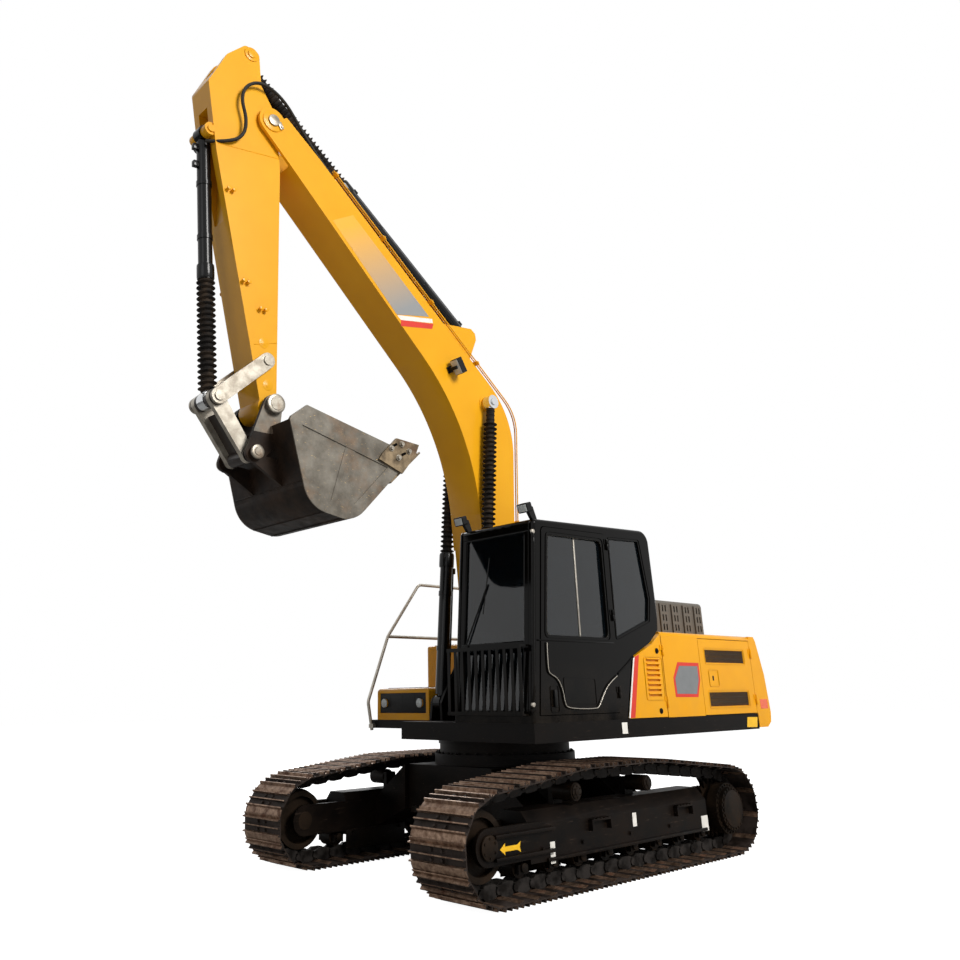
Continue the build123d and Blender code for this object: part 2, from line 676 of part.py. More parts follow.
def turntable():
    """Deck with the two upright plates that carry the boom and the boom cylinders' feet."""
    side = UPPER_HALF - DECK_INSET
    deck = box(DECK_REAR_X, DECK_FRONT_MID_X, -DECK_MID_HALF, DECK_MID_HALF, DECK_BOTTOM, DECK_TOP)
    deck += box(DECK_REAR_X, DECK_FRONT_LEFT_X, DECK_MID_HALF - DECK_INSET, side,
                DECK_BOTTOM, DECK_TOP)
    deck += box(DECK_REAR_X, TANK_FRONT_X, -side, -DECK_MID_HALF + DECK_INSET,
                DECK_BOTTOM, DECK_TOP)
    deck += box(TANK_FRONT_X, DECK_FRONT_RIGHT_X, -side, -DECK_MID_HALF + DECK_INSET,
                DECK_TOP - DECK_STEP_T, DECK_TOP)
    inner = FOOT_HALF + CLEAR
    outer = inner + CHEEK_T
    cheek = [(CHEEK_REAR_X, DECK_TOP), (RAM_FOOT_X + 80.0, DECK_TOP),
             (RAM_FOOT_X + 90.0, RAM_FOOT_Z), (RAM_FOOT_X + 30.0, RAM_FOOT_Z + 105.0),
             (FOOT_X + FOOT_R, FOOT_Z - 20.0), (FOOT_X + 0.6 * FOOT_R, FOOT_Z + 0.8 * FOOT_R),
             (FOOT_X - 0.6 * FOOT_R, FOOT_Z + 0.8 * FOOT_R), (FOOT_X - FOOT_R, FOOT_Z)]
    eye = BOOM_CYL["eye_half"] + CLEAR
    ear = [(RAM_FOOT_X, RAM_FOOT_Z, RAM_EAR_R), (RAM_FOOT_X - 60.0, DECK_TOP + 15.0, RAM_EAR_R),
           (RAM_FOOT_X + 20.0, DECK_TOP + 15.0, RAM_EAR_R)]
    for s in (-1, 1):
        deck += plate(cheek, *sorted((s * inner, s * outer)))
        deck += shaft(RAM_FOOT_X, RAM_FOOT_Z, RAM_BOSS_R, *sorted((s * outer, s * (RAM_Y - eye))))
        y0, y1 = sorted((s * (RAM_Y + eye), s * (RAM_Y + eye + RAM_EAR_T)))
        deck += hull_of(ear, y0, y1)
        deck += shaft(RAM_FOOT_X, RAM_FOOT_Z, CYL_PIN_R, *sorted((s * inner, s * (RAM_Y + eye))))
    deck -= shaft(FOOT_X, FOOT_Z, PIN_R + FIT, -DECK_MID_HALF, DECK_MID_HALF)
    return deck


def counterweight():
    """Cast block with a bowed rear face that leans in towards its top, with lifting holes."""
    def plan(z, lean):
        corner, rear = WEIGHT_CORNER_X + lean, WEIGHT_REAR_X + lean
        half = UPPER_HALF
        return make_face([Line((DECK_REAR_X, -half, z), (corner, -half, z)),
                          ThreePointArc((corner, -half, z), (rear, 0, z), (corner, half, z)),
                          Line((corner, half, z), (DECK_REAR_X, half, z)),
                          Line((DECK_REAR_X, half, z), (DECK_REAR_X, -half, z))]).face()
    block = loft([plan(z, lean) for z, lean in WEIGHT_LEAN], ruled=True)
    for y in (-LIFT_SPACING / 2, LIFT_SPACING / 2):
        block -= Pos(LIFT_X, y, HOOD_TOP - LIFT_DEPTH / 2) * Cylinder(LIFT_R, LIFT_DEPTH)
    return block


def engine():
    """The engine as one plain block on the deck."""
    return box(ENGINE_X0, ENGINE_X0 + ENGINE_LEN, ENGINE_Y0, ENGINE_Y0 + ENGINE_W,
               DECK_TOP, ENGINE_TOP)


def hood():
    """Fixed covers: the top with its opening under the cowl, the middle side panels, a wall."""
    lip = 60.0
    under = HOOD_TOP - PANEL_T
    top = box(DECK_REAR_X, PANEL_FRONT_X, -UPPER_HALF, UPPER_HALF, under, HOOD_TOP)
    top = fillet(top.faces().sort_by(Axis.Z)[-1].edges().filter_by(Axis.X), HOOD_EDGE_R)
    top -= box(COWL_X0 + lip, COWL_X1 - lip, COWL_Y0 + lip, COWL_Y1 - lip, DECK_TOP, COWL_TOP)
    top -= box(TANK_REAR_X, 0.0, -UPPER_HALF - lip, TANK_IN_Y, DECK_TOP, COWL_TOP)
    top += box(PANEL_SEAM_X, PANEL_FRONT_X - PANEL_GAP, UPPER_HALF - PANEL_T, UPPER_HALF,
               DECK_TOP, under)
    top += box(PANEL_SEAM_X, TANK_REAR_X - PANEL_GAP, -UPPER_HALF, -UPPER_HALF + PANEL_T,
               DECK_TOP, under)
    top += box(PANEL_FRONT_X - 40.0, PANEL_FRONT_X, TANK_IN_Y, UPPER_HALF - lip,
               DECK_TOP, HOOD_TOP)
    for s in (-1, 1):
        y0, y1 = sorted((s * (UPPER_HALF - 2 * PANEL_T), s * UPPER_HALF))
        top += box(DECK_REAR_X, PANEL_REAR_X, y0, y1, DECK_TOP, under)
        top += hinge_half(PANEL_REAR_X + PANEL_GAP / 2, s * (UPPER_HALF + HINGE_OUT),
                          s * UPPER_HALF, -1, COVER_HINGES_Z)
    top += hinge_half(PANEL_FRONT_X, UPPER_HALF + HINGE_OUT, UPPER_HALF, -1, COVER_HINGES_Z)
    for y in LID_HINGES_Y:
        top += lid_hinge(y, COWL_X1 + HINGE_OUT, HOOD_TOP, 1)
    return top


def lid_hinge(y, x, base, toward):
    """Knuckle along the cowl's front edge, with its leaf on the hood or on the cowl."""
    z = HOOD_TOP + HINGE_OUT
    y0, y1 = (y, y + HINGE_LEN) if toward > 0 else (y + HINGE_LEN + SEAT, y + 2 * HINGE_LEN + SEAT)
    if toward > 0:
        leaf = box(x, x + LEAF, y0, y1, base, z - HINGE_R + LEAF_BITE)
    else:
        leaf = box(base, x - HINGE_R + LEAF_BITE, y0, y1, z, z + LEAF)
    return shaft(x, z, HINGE_R, y0, y1) + leaf


def louvre_door():
    """Left front side door, cut to the line of the cab's rear corner, with its slots."""
    rear = PANEL_FRONT_X + PANEL_GAP
    low = DECK_TOP + PANEL_GAP
    pts = [(CAB_LOW_REAR_X - 20.0, low), (-405.0, 1785.0), (-705.0, 1905.0), (rear, 2010.0),
           (rear, low)]
    door = plate(pts, UPPER_HALF - PANEL_T, UPPER_HALF)
    for k in range(LOUVRES):
        z = LOUVRE_Z + k * LOUVRE_STEP
        door -= box(LOUVRE_X - LOUVRE_LEN, LOUVRE_X, UPPER_HALF - LOUVRE_DEPTH,
                    UPPER_HALF + CLEAR, z, z + LOUVRE_H)
    return door + hinge_half(PANEL_FRONT_X, UPPER_HALF + HINGE_OUT, UPPER_HALF, 1,
                             raised(COVER_HINGES_Z))


def rear_door(side):
    """Rear side door with its two recessed grilles."""
    y0, y1 = sorted((side * (UPPER_HALF - PANEL_T), side * UPPER_HALF))
    door = box(PANEL_REAR_X + PANEL_GAP, PANEL_SEAM_X - PANEL_GAP, y0, y1, DECK_TOP + PANEL_GAP,
               HOOD_TOP - PANEL_T - PANEL_GAP)
    y0, y1 = sorted((side * (UPPER_HALF - GRILLE_DEPTH), side * (UPPER_HALF + CLEAR)))
    for z0, z1 in GRILLES_Z:
        door -= box(GRILLE_X - GRILLE_LEN, GRILLE_X, y0, y1, z0, z1)
    return door + hinge_half(PANEL_REAR_X + PANEL_GAP / 2, side * (UPPER_HALF + HINGE_OUT),
                             side * UPPER_HALF, 1, raised(COVER_HINGES_Z))


def cowl():
    """Grey engine cowl, a lid over the opening in the hood."""
    shell = box(COWL_X0, COWL_X1, COWL_Y0, COWL_Y1, HOOD_TOP + CLEAR, COWL_TOP)
    shell = fillet(shell.edges().filter_by(Axis.Z), COWL_CORNER_R)
    shell = fillet(shell.faces().sort_by(Axis.Z)[-1].edges(), COWL_EDGE_R)
    shell -= box(COWL_X0 + COWL_WALL, COWL_X1 - COWL_WALL, COWL_Y0 + COWL_WALL,
                 COWL_Y1 - COWL_WALL, HOOD_TOP, COWL_TOP - COWL_WALL)
    w, h = COWL_SLOT
    across, up = COWL_SLOT_STEP
    for y, out in ((COWL_Y0, -COWL_RIB_OUT), (COWL_Y1, COWL_RIB_OUT)):
        y0, y1 = sorted((y - out / 2, y + out))
        for k in range(COWL_RIBS):
            x = COWL_RIB_X - k * COWL_RIB_STEP
            rib = box(x - COWL_RIB_W / 2, x + COWL_RIB_W / 2, y0, y1, HOOD_TOP + CLEAR,
                      COWL_TOP - COWL_EDGE_R)
            for row in range(COWL_SLOT_ROWS):
                for column in (-0.5, 0.5):
                    u, z = x + column * across, COWL_SLOT_Z + row * up
                    rib -= box(u - w / 2, u + w / 2, min(y + out / 2, y + 2 * out),
                               max(y + out / 2, y + 2 * out), z - h / 2, z + h / 2)
            shell += rib
    for y in LID_HINGES_Y:
        shell += lid_hinge(y, COWL_X1 + HINGE_OUT, COWL_X1, -1)
    return shell


def fuel_tank():
    """Fuel tank, the front one of the two on the right."""
    tank = box(TANK_SPLIT_X + PANEL_GAP, TANK_FRONT_X, -UPPER_HALF, TANK_IN_Y, DECK_TOP, TANK_TOP)
    tank = fillet(tank.edges().filter_by(Axis.Z), TANK_EDGE_R)
    return fillet(tank.faces().sort_by(Axis.Z)[-1].edges(), TANK_EDGE_R / 2)


def hydraulic_tank():
    """Oil tank behind the fuel tank."""
    tank = box(TANK_REAR_X + PANEL_GAP, TANK_SPLIT_X, -UPPER_HALF, TANK_IN_Y, DECK_TOP, TANK_TOP)
    tank = fillet(tank.edges().filter_by(Axis.Z), TANK_EDGE_R)
    return fillet(tank.faces().sort_by(Axis.Z)[-1].edges(), TANK_EDGE_R / 2)


def tool_box():
    """Chest on the right front corner of the deck."""
    front = DECK_FRONT_RIGHT_X - PANEL_GAP
    chest = box(TANK_FRONT_X + PANEL_GAP, front, TOOLBOX_OUT_Y, TOOLBOX_IN_Y, DECK_TOP, TOOLBOX_TOP)
    chest = fillet(chest.faces().sort_by(Axis.Z)[-1].edges(), TOOLBOX_EDGE_R)
    y0, y1 = TOOLBOX_OUT_Y + TOOLBOX_PANEL_IN, TOOLBOX_IN_Y - TOOLBOX_PANEL_IN
    z0, z1 = TOOLBOX_PANEL_Z
    sunk = front - TOOLBOX_PANEL_D
    chest -= box(sunk, front + CLEAR, y0, y1, z0, z1)
    for y in (y0 + 2 * DECK_LAMP_R, y1 - 2 * DECK_LAMP_R):
        chest += Pos(sunk + DECK_LAMP_D / 2 - CLEAR, y, (z0 + z1) / 2) * Rot(0, 90, 0) * Cylinder(
            DECK_LAMP_R, DECK_LAMP_D)
    return chest


def handrail():
    """Right rail from the deck's front corner up and back over the tanks."""
    x = DECK_FRONT_RIGHT_X + 25.0
    foot_z = DECK_TOP - 60.0
    pts = [(x, RAIL_Y, foot_z - 40.0), (RAIL_FRONT_X, RAIL_Y, DECK_TOP + 180.0),
           (430.0, RAIL_Y, RAIL_MID), (-35.0, RAIL_Y, RAIL_TOP), (RAIL_REAR_X, RAIL_Y, RAIL_TOP),
           (RAIL_REAR_X, RAIL_Y, TANK_TOP)]
    path = FilletPolyline(*pts, radius=RAIL_BEND_R)
    bar = sweep(Plane(path @ 0, z_dir=path % 0) * Circle(RAIL_R), path=path)
    length = 430.0 - RAIL_REAR_X
    bar += Pos(430.0 - length / 2, RAIL_Y, RAIL_MID) * Rot(0, 90, 0) * Cylinder(RAIL_R, length)
    bar += box(DECK_FRONT_RIGHT_X, x + RAIL_R, RAIL_Y - 2 * RAIL_R, RAIL_Y + 2 * RAIL_R,
               foot_z - 20.0, foot_z + 20.0)
    return bar


# Cab

def cab_side(inset, y0, y1):
    """The cab's side view as a solid, drawn in by that much, with its rounded roof corners."""
    i = inset
    front, rear, low = (CAB_ROOF_FRONT_X - i, CAB_ROOF_FRONT_Z - i), (
        CAB_REAR_X + 30.0 + i, CAB_ROOF_REAR_Z - i), (CAB_REAR_X + i, CAB_REAR_Z)
    (x0, z0), (x1, z1), (x2, z2) = CAB_STEP
    pts = [(CAB_LOW_REAR_X + i, DECK_TOP + i), (CAB_FRONT_X - i, DECK_TOP + i),
           (CAB_FRONT_X - i, CAB_KNEE_Z), front, rear, low,
           (x2 + i, z2 + i / 2), (x1 + i / 2, z1 + i), (x0 + i / 2, z0 + i)]
    return plate(pts, y0, y1, [front + (CAB_FRONT_R,), rear + (CAB_REAR_R - i,)])


def cab_edge(side, y):
    """Rounds the outer edges of a cab side along its front, its roof and its rear."""
    face = min(side.faces().filter_by(Axis.Y), key=lambda f: abs(f.center().Y - y))
    edges = [e for e in face.edges() if e.center().X > CAB_ROOF_FRONT_X - CAB_FRONT_R
             or e.center().Z > CAB_REAR_Z]
    return fillet(edges, CAB_EDGE_R)


def roof_z(x):
    """Height of the cab's roof line at X."""
    share = (CAB_ROOF_FRONT_X - x) / (CAB_ROOF_FRONT_X - CAB_REAR_X - 30.0)
    return CAB_ROOF_FRONT_Z + share * (CAB_ROOF_REAR_Z - CAB_ROOF_FRONT_Z)


def cab_openings():
    """The cab's windows by panel, each a solid that cuts through its wall."""
    w = CAB_WALL
    y0, y1 = CAB_Y0, CAB_Y1
    inner0, inner1 = y0 + w + POST_W, y1 - w - POST_W
    return dict(
        front=[box(0.0, BEYOND, inner0, inner1, z0, z1) for z0, z1 in FRONT_PANES_Z],
        rear=[box(-BEYOND, 0.0, inner0 + POST_W / 2, inner1 - POST_W / 2, *REAR_PANE_Z)],
        right=[plate(pts, y0 - CLEAR, y0 + w + CLEAR) for pts in RIGHT_PANES],
        left=[plate(QUARTER_PANE, y1 - w - CLEAR, y1 + CLEAR)],
        roof=[box(*HATCH_X, inner0 + 1.5 * POST_W, inner1 - 1.5 * POST_W,
                  (CAB_KNEE_Z + CAB_ROOF_REAR_Z) / 2, BEYOND)])


def cab_parts():
    """The cab's panels, cut from one hollow shell where the real panels meet."""
    w = CAB_WALL
    y0, y1 = CAB_Y0, CAB_Y1
    left = cab_edge(cab_side(0.0, y1 - w, y1), y1)
    right = cab_edge(cab_side(0.0, y0, y0 + w), y0)
    inner = cab_side(w, y0, y1)
    band = cab_side(0.0, y0 + w, y1 - w) - inner
    low, high = DECK_TOP + w, CAB_ROOF_FRONT_Z - w - CAB_FRONT_R
    floor = band & box(-BEYOND, BEYOND, y0, y1, 0.0, low)
    roof = band & box(-BEYOND, BEYOND, y0, y1, high, BEYOND)
    front = band & box(0.0, BEYOND, y0, y1, low, high)
    rear = band & box(-BEYOND, 0.0, y0, y1, low, high)
    cuts = cab_openings()
    for cut in cuts["front"]:
        front -= cut
    for cut in cuts["rear"]:
        rear -= cut
    for cut in cuts["right"]:
        right -= cut
    for cut in cuts["left"] + [door_side(0.0, y1 - w - CLEAR, y1 + CLEAR)]:
        left -= cut
    for cut in cuts["roof"]:
        roof -= cut
    left += hinge_half(DOOR_REAR_X, y1 + DOOR_PROUD + HINGE_OUT, y1, -1, DOOR_HINGES_Z)
    return dict(cab_floor=floor, cab_roof=roof, cab_front_frame=front, cab_rear_wall=rear,
                cab_left_frame=left, cab_right_wall=right)


def cab_glass():
    """Fixed panes, each filling its window's outline part of the way through the wall."""
    w = CAB_WALL
    cuts = cab_openings()
    sheet = cab_side(GLASS_IN, CAB_Y0 + w, CAB_Y1 - w) - cab_side(GLASS_IN + GLASS_T, CAB_Y0, CAB_Y1)
    sides = {}
    for panel, y in (("left", CAB_Y1 - GLASS_IN - GLASS_T), ("right", CAB_Y0 + GLASS_IN)):
        sides[panel] = box(-BEYOND, BEYOND, y, y + GLASS_T, 0.0, BEYOND)
    panes = []
    for panel, solids in cuts.items():
        for cut in solids:
            panes += (cut & sides.get(panel, sheet)).solids()
    return panes


def door_side(inset, y0, y1):
    """The side door's outline as a solid, drawn in by that much."""
    i = inset
    rear = DOOR_REAR_X + i
    pts = [(rear, DOOR_BOTTOM_Z + i), (DOOR_FRONT_X - i, DOOR_BOTTOM_Z + i),
           (DOOR_HEAD[0] - i, DOOR_HEAD[1] - i), (rear, DOOR_REAR_Z - i)]
    return plate(pts, y0, y1, [pts[2] + (DOOR_CORNER_R,), pts[3] + (DOOR_CORNER_R,)])


def door_window(y0, y1):
    """The door's window as a solid."""
    return plate(DOOR_PANE, y0, y1, [corner + (DOOR_CORNER_R,) for corner in DOOR_PANE])


def cab_door():
    """Door with its window opening."""
    face = CAB_Y1 + DOOR_PROUD
    door = door_side(DOOR_GAP, CAB_Y1 - CAB_WALL, face) - door_window(CAB_Y0, CAB_Y1 + CAB_WALL)
    return door + hinge_half(DOOR_REAR_X, face + HINGE_OUT, face, 1, raised(DOOR_HINGES_Z))


def door_glass():
    """Pane of the door."""
    return door_window(CAB_Y1 - GLASS_IN - GLASS_T, CAB_Y1 - GLASS_IN)


def operator_seat():
    """Seat with its base and the two control consoles, seen through the glass."""
    y = (CAB_Y0 + CAB_Y1) / 2
    z = DECK_TOP + CAB_WALL
    x, half = SEAT_X, SEAT_W / 2
    seat = box(x + 50.0, x + 430.0, y - half + 50.0, y + half - 50.0, z, z + 260.0)
    seat += box(x, x + 480.0, y - half, y + half, z + 260.0, z + 400.0)
    seat += plate([(x, z + 330.0), (x + 130.0, z + 400.0), (x - 10.0, z + 1050.0),
                   (x - 130.0, z + 1050.0)], y - half, y + half)
    for s in (-1, 1):
        y0, y1 = sorted((y + s * half, y + s * (half + 100.0)))
        seat += box(x + 60.0, x + 500.0, y0, y1, z + 300.0, z + 560.0)
    return seat


def front_guard():
    """Guard of flat upright slats before the lower windscreen, on four lugs."""
    x, y0, y1 = CAB_FRONT_X + GUARD_OUT, CAB_Y0, CAB_Y1 - CAB_WALL
    z0, z1 = GUARD_Z
    t = GUARD_BAR
    guard = box(x, x + t, y0, y1, z0, z0 + 2 * t) + box(x, x + t, y0, y1, z1 - 2 * t, z1)
    for k in range(GUARD_BARS):
        y = y0 + (y1 - y0 - GUARD_SLAT) * k / (GUARD_BARS - 1)
        guard += box(x, x + t / 2, y, y + GUARD_SLAT, z0, z1)
    for y in (y0, y1 - t):
        guard += box(CAB_FRONT_X, x + t, y, y + t, z0, z0 + t)
        guard += plate([(CAB_FRONT_X - GUARD_LEAN * (z1 - t - CAB_KNEE_Z), z1 - t), (x + t, z1 - t),
                        (x + t, z1), (CAB_FRONT_X - GUARD_LEAN * (z1 - CAB_KNEE_Z), z1)], y, y + t)
    return guard


def roof_lamps():
    """Two square work lamps, tilted on brackets at the front edge of the cab's roof."""
    found = []
    for y in LAMPS_Y:
        x, out = CAB_ROOF_FRONT_X - CAB_FRONT_R, CAB_ROOF_FRONT_X + CLEAR
        foot = [(x - 60.0, roof_z(x - 60.0)), (x, roof_z(x)), (out + CLEAR, LAMP_Z - LAMP_H / 4),
                (out + CLEAR, LAMP_Z + LAMP_H / 4), (x - 10.0, LAMP_Z + LAMP_H / 4)]
        lamp = plate(foot, y - LAMP_FOOT_W / 2, y + LAMP_FOOT_W / 2)
        head = Box(LAMP_D, LAMP_W, LAMP_H)
        head = fillet(head.edges().filter_by(Axis.X), LAMP_H / 6)
        lamp += Pos(out + LAMP_D / 2, y, LAMP_Z) * Rot(0, LAMP_TILT, 0) * head
        found.append(lamp)
    return found


# Arms

def boom():
    """Boxed boom with its knee, the open fork at its nose and the brackets on its back."""
    pts = [(-0.5 * FOOT_R, 0.875 * FOOT_R), BOOM_TOP_KNEE, (NOSE_TOP_U, NOSE_TOP_V), NOSE_LIP,
           (BOOM_LEN - 45.0, -NOSE_R + 6.0), (BOOM_LEN - 484.0, -16.0), BOOM_BOTTOM_KNEE,
           (0.44 * FOOT_R, -0.94 * FOOT_R)]
    rounds = [BOOM_TOP_KNEE + (BOOM_TOP_KNEE_R,), BOOM_BOTTOM_KNEE + (BOOM_BOTTOM_KNEE_R,)]
    body = plate(pts, -BOOM_HALF, BOOM_HALF, rounds)
    body += shaft(0, 0, FOOT_R, -FOOT_HALF, FOOT_HALF)
    body += shaft(BOOM_LEN, 0, NOSE_R, -BOOM_HALF, BOOM_HALF)
    for s in (-1, 1):
        y0, y1 = sorted((s * FOOT_HALF, s * 2 * BOOM_HALF))
        body -= box(-2 * FOOT_R, NARROW_U, y0, y1, -2 * FOOT_R, BOOM_TOP_KNEE[1])
    gap = BOOM_HALF - NOSE_CHEEK_T
    body -= shaft(BOOM_LEN, 0, FORK_R, -gap, gap)
    body -= box(BOOM_LEN - NOSE_R, BOOM_LEN + FORK_R, -gap, gap, -FORK_R, FORK_R)
    bu, bv = BOOM_RAM
    reach = RAM_Y - BOOM_CYL["eye_half"] - CLEAR
    body += shaft(bu, bv, BOOM_CYL["eye_r"] - CLEAR, -reach, reach)
    reach = FOOT_HALF + CLEAR + CHEEK_T + PIN_OUT
    body += shaft(0, 0, PIN_R, -reach, reach)
    body += shaft(BOOM_LEN, 0, PIN_R, -BOOM_HALF - PIN_OUT, BOOM_HALF + PIN_OUT)
    # Bracket of the stick cylinder's foot
    su, sv = STICK_RAM
    near, far = STICK_CYL["barrel"] + CLEAR, STICK_CYL["eye_half"] + CLEAR
    for s in (-1, 1):
        y0, y1 = sorted((s * near, s * (near + BRACKET_T)))
        body += plate([(su - 330.0, 1240.0), (su + 330.0, 1040.0), (su + 70.0, sv + 60.0),
                       (su, sv + BRACKET_R), (su - 70.0, sv + 60.0)], y0, y1)
        body += shaft(su, sv, BOSS_R, *sorted((s * far, s * near)))
    body += shaft(su, sv, CYL_PIN_R, -near, near)
    return place(FOOT, BOOM_ANGLE) * body


def boom_pipes():
    """Two steel pipes along each side of the boom's top, held by clamps that stand on it."""
    (u0, v0), (u1, v1), (u2, v2) = (-0.5 * FOOT_R, 0.875 * FOOT_R), BOOM_TOP_KNEE, (NOSE_TOP_U,
                                                                                   NOSE_TOP_V)
    low, a_low = heading((u0, v0), (u1, v1))
    high, a_high = heading((u1, v1), (u2, v2))
    turn = math.radians(a_low - a_high) / 2
    bisector = math.radians((a_low + a_high) / 2 + 90.0)

    def beside(origin, angle, along, out):
        c, q = math.cos(math.radians(angle)), math.sin(math.radians(angle))
        return (origin[0] + along * c - out * q, origin[1] + along * q + out * c)

    start = beside((u0, v0), a_low, (PIPE_FROM - u0) / math.cos(math.radians(a_low)), PIPE_UP)
    knee = (u1 + PIPE_UP / math.cos(turn) * math.cos(bisector),
            v1 + PIPE_UP / math.cos(turn) * math.sin(bisector))
    end = beside((u1, v1), a_high, (PIPE_TO - u1) / math.cos(math.radians(a_high)), PIPE_UP)
    sides = []
    for s in (-1, 1):
        whole = None
        for y in PIPES_Y:
            path = FilletPolyline(*[(u, s * y, v) for u, v in (start, knee, end)],
                                  radius=BOOM_TOP_KNEE_R + PIPE_UP)
            pipe = sweep(Plane(path @ 0, z_dir=path % 0) * Circle(PIPE_R), path=path)
            whole = pipe if whole is None else whole + pipe
        reach = BOOM_TOP_KNEE_R * math.tan(turn)
        y0, y1 = sorted((s * (PIPES_Y[0] - CLAMP_SIDE), s * (PIPES_Y[1] + CLAMP_SIDE)))
        stations = [((u0, v0), a_low, k * (low - reach)) for k in CLAMPS_LOW]
        stations += [((u1, v1), a_high, reach + k * (high - reach)) for k in CLAMPS_HIGH]
        for origin, angle, along in stations:
            if angle == a_low:
                along = max(along, (PIPE_FROM - u0) / math.cos(math.radians(a_low)) + CLAMP_W)
            else:
                along = min(along, (PIPE_TO - u1) / math.cos(math.radians(a_high)) - CLAMP_W)
            corners = [beside(origin, angle, along + du, dv) for du, dv in (
                (-CLAMP_W / 2, 0.0), (CLAMP_W / 2, 0.0), (CLAMP_W / 2, PIPE_UP + PIPE_R / 2),
                (-CLAMP_W / 2, PIPE_UP + PIPE_R / 2))]
            whole += plate(corners, y0, y1)
        sides.append(place(FOOT, BOOM_ANGLE) * whole)
    return sides


def boom_lamp():
    """Square work lamp on an arm that stands out from the boom's left side."""
    u, v = WORK_LAMP
    arm = WORK_LAMP_ARM
    lamp = box(u - arm / 2, u + arm / 2, BOOM_HALF, WORK_LAMP_Y + arm / 2, v - arm / 2, v + arm / 2)
    lamp += box(u - arm, u + arm, BOOM_HALF, BOOM_HALF + arm / 4, v - arm, v + arm)
    head = box(u - WORK_LAMP_L / 2, u + WORK_LAMP_L / 2, WORK_LAMP_Y - WORK_LAMP_W / 2,
               WORK_LAMP_Y + WORK_LAMP_W / 2, v + arm / 4, v + arm / 4 + WORK_LAMP_H)
    lamp += fillet(head.edges().filter_by(Axis.X), WORK_LAMP_H / 6)
    return place(FOOT, BOOM_ANGLE) * lamp


def stick():
    """Boxed stick: broad at the boom's nose, tapering to the bucket pin."""
    pts = [(-800.0, 290.0), (-780.0, 130.0), (-403.0, 103.0), (-120.0, -70.0), (480.0, -118.0),
           (STICK_LEN, -80.0), (STICK_LEN, 80.0), (530.0, 575.0), (-210.0, 680.0), (-600.0, 490.0)]
    body = plate(pts, -STICK_HALF, STICK_HALF, [corner + (STICK_CORNER_R,) for corner in
                                                (pts[0], pts[1], pts[-1], pts[-2], pts[-3])])
    body += shaft(STICK_LEN, 0, STICK_END_R, -STICK_HALF, STICK_HALF)
    body += shaft(0, 0, STICK_BOSS_R, -BOOM_HALF + NOSE_CHEEK_T + CLEAR,
                  BOOM_HALF - NOSE_CHEEK_T - CLEAR)
    for s, t in ((0, 0), (STICK_LEN, 0), ROCKER_PIN):
        body -= shaft(s, t, PIN_R + FIT, -BOOM_HALF, BOOM_HALF)
    # Ears for the stick cylinder's rod, with a stub on each side of its eye
    wide = STICK_CYL["bellows"] + CLEAR
    near = STICK_CYL["eye_half"] + CLEAR
    body -= box(-BEYOND, STICK_FORK_S, -wide, wide, -BEYOND, BEYOND)
    rs, rt = STICK_ROD_PIN
    for s in (-1, 1):
        body += shaft(rs, rt, BOSS_R, *sorted((s * near, s * wide)))
    # Pocket and bosses for the bucket cylinder's foot
    s0, s1, floor = POCKET
    wide = BUCKET_CYL["barrel"] + 3 * CLEAR
    near = BUCKET_CYL["eye_half"] + CLEAR
    body -= box(s0, s1, -wide, wide, floor, BEYOND)
    bs, bt = BUCKET_RAM
    for s in (-1, 1):
        body += shaft(bs, bt, BOSS_R + CLEAR, *sorted((s * near, s * (STICK_HALF - PIN_OUT))))
    body += shaft(bs, bt, CYL_PIN_R, -STICK_HALF, STICK_HALF)
    return place(NOSE, STICK_ANGLE) * body


def barrel(foot, head, cyl, y):
    """Cylinder tube with its foot eye, bored for its pin, and the gland at its end."""
    _, angle = heading(foot, head)
    h, end = cyl["eye_half"], cyl["length"]
    start = cyl["eye_r"] + CLEAR
    body = shaft(0, 0, cyl["eye_r"], y - h, y + h)
    for r, x0, x1 in ((h - CLEAR, 0.0, start + CLEAR), (cyl["barrel"], start, end),
                      (cyl["barrel"] + GLAND_R, end - GLAND_LEN, end)):
        body += Pos((x0 + x1) / 2, y, 0) * Rot(0, 90, 0) * Cylinder(r, x1 - x0)
    body -= shaft(0, 0, CYL_PIN_R + FIT, y - 2 * h, y + 2 * h)
    bore = end - start - BARREL_END
    body -= Pos(end - bore / 2, y, 0) * Rot(0, 90, 0) * Cylinder(cyl["rod"] + FIT, bore)
    return place(foot, angle) * body


def rod(foot, head, cyl, y):
    """Piston rod with the eye at its end."""
    length, angle = heading(foot, head)
    h = cyl["eye_half"]
    start = cyl["length"] - PISTON_IN
    stop = length - cyl["eye_r"] / 2
    body = Pos((start + stop) / 2, y, 0) * Rot(0, 90, 0) * Cylinder(cyl["rod"], stop - start)
    body += shaft(length, 0, cyl["eye_r"], y - h, y + h)
    if y:
        body += shaft(length, 0, CYL_PIN_R, *sorted((y, y + math.copysign(h + PIN_OUT, y))))
    return place(foot, angle) * body


def bellows(foot, head, cyl, y):
    """Rubber bellows over the bare rod, from the gland to the eye."""
    length, angle = heading(foot, head)
    x0 = cyl["length"]
    x1 = length - cyl["eye_r"] - SEAT
    count = max(2, round((x1 - x0) / BELLOWS_PITCH))
    step = (x1 - x0) / count
    inner, tip = cyl["rod"] + FIT, cyl["bellows"]
    root = tip - BELLOWS_FOLD
    pts = [(x0, inner), (x0, root)]
    for k in range(count):
        pts += [(x0 + (k + 0.5) * step, tip), (x0 + (k + 1) * step, root)]
    pts += [(x1, inner)]
    face = make_face(Polyline(*[(x, 0, z) for x, z in pts], close=True).edges()).face()
    return place(foot, angle) * (Pos(0, y, 0) * revolve(face, axis=Axis.X))


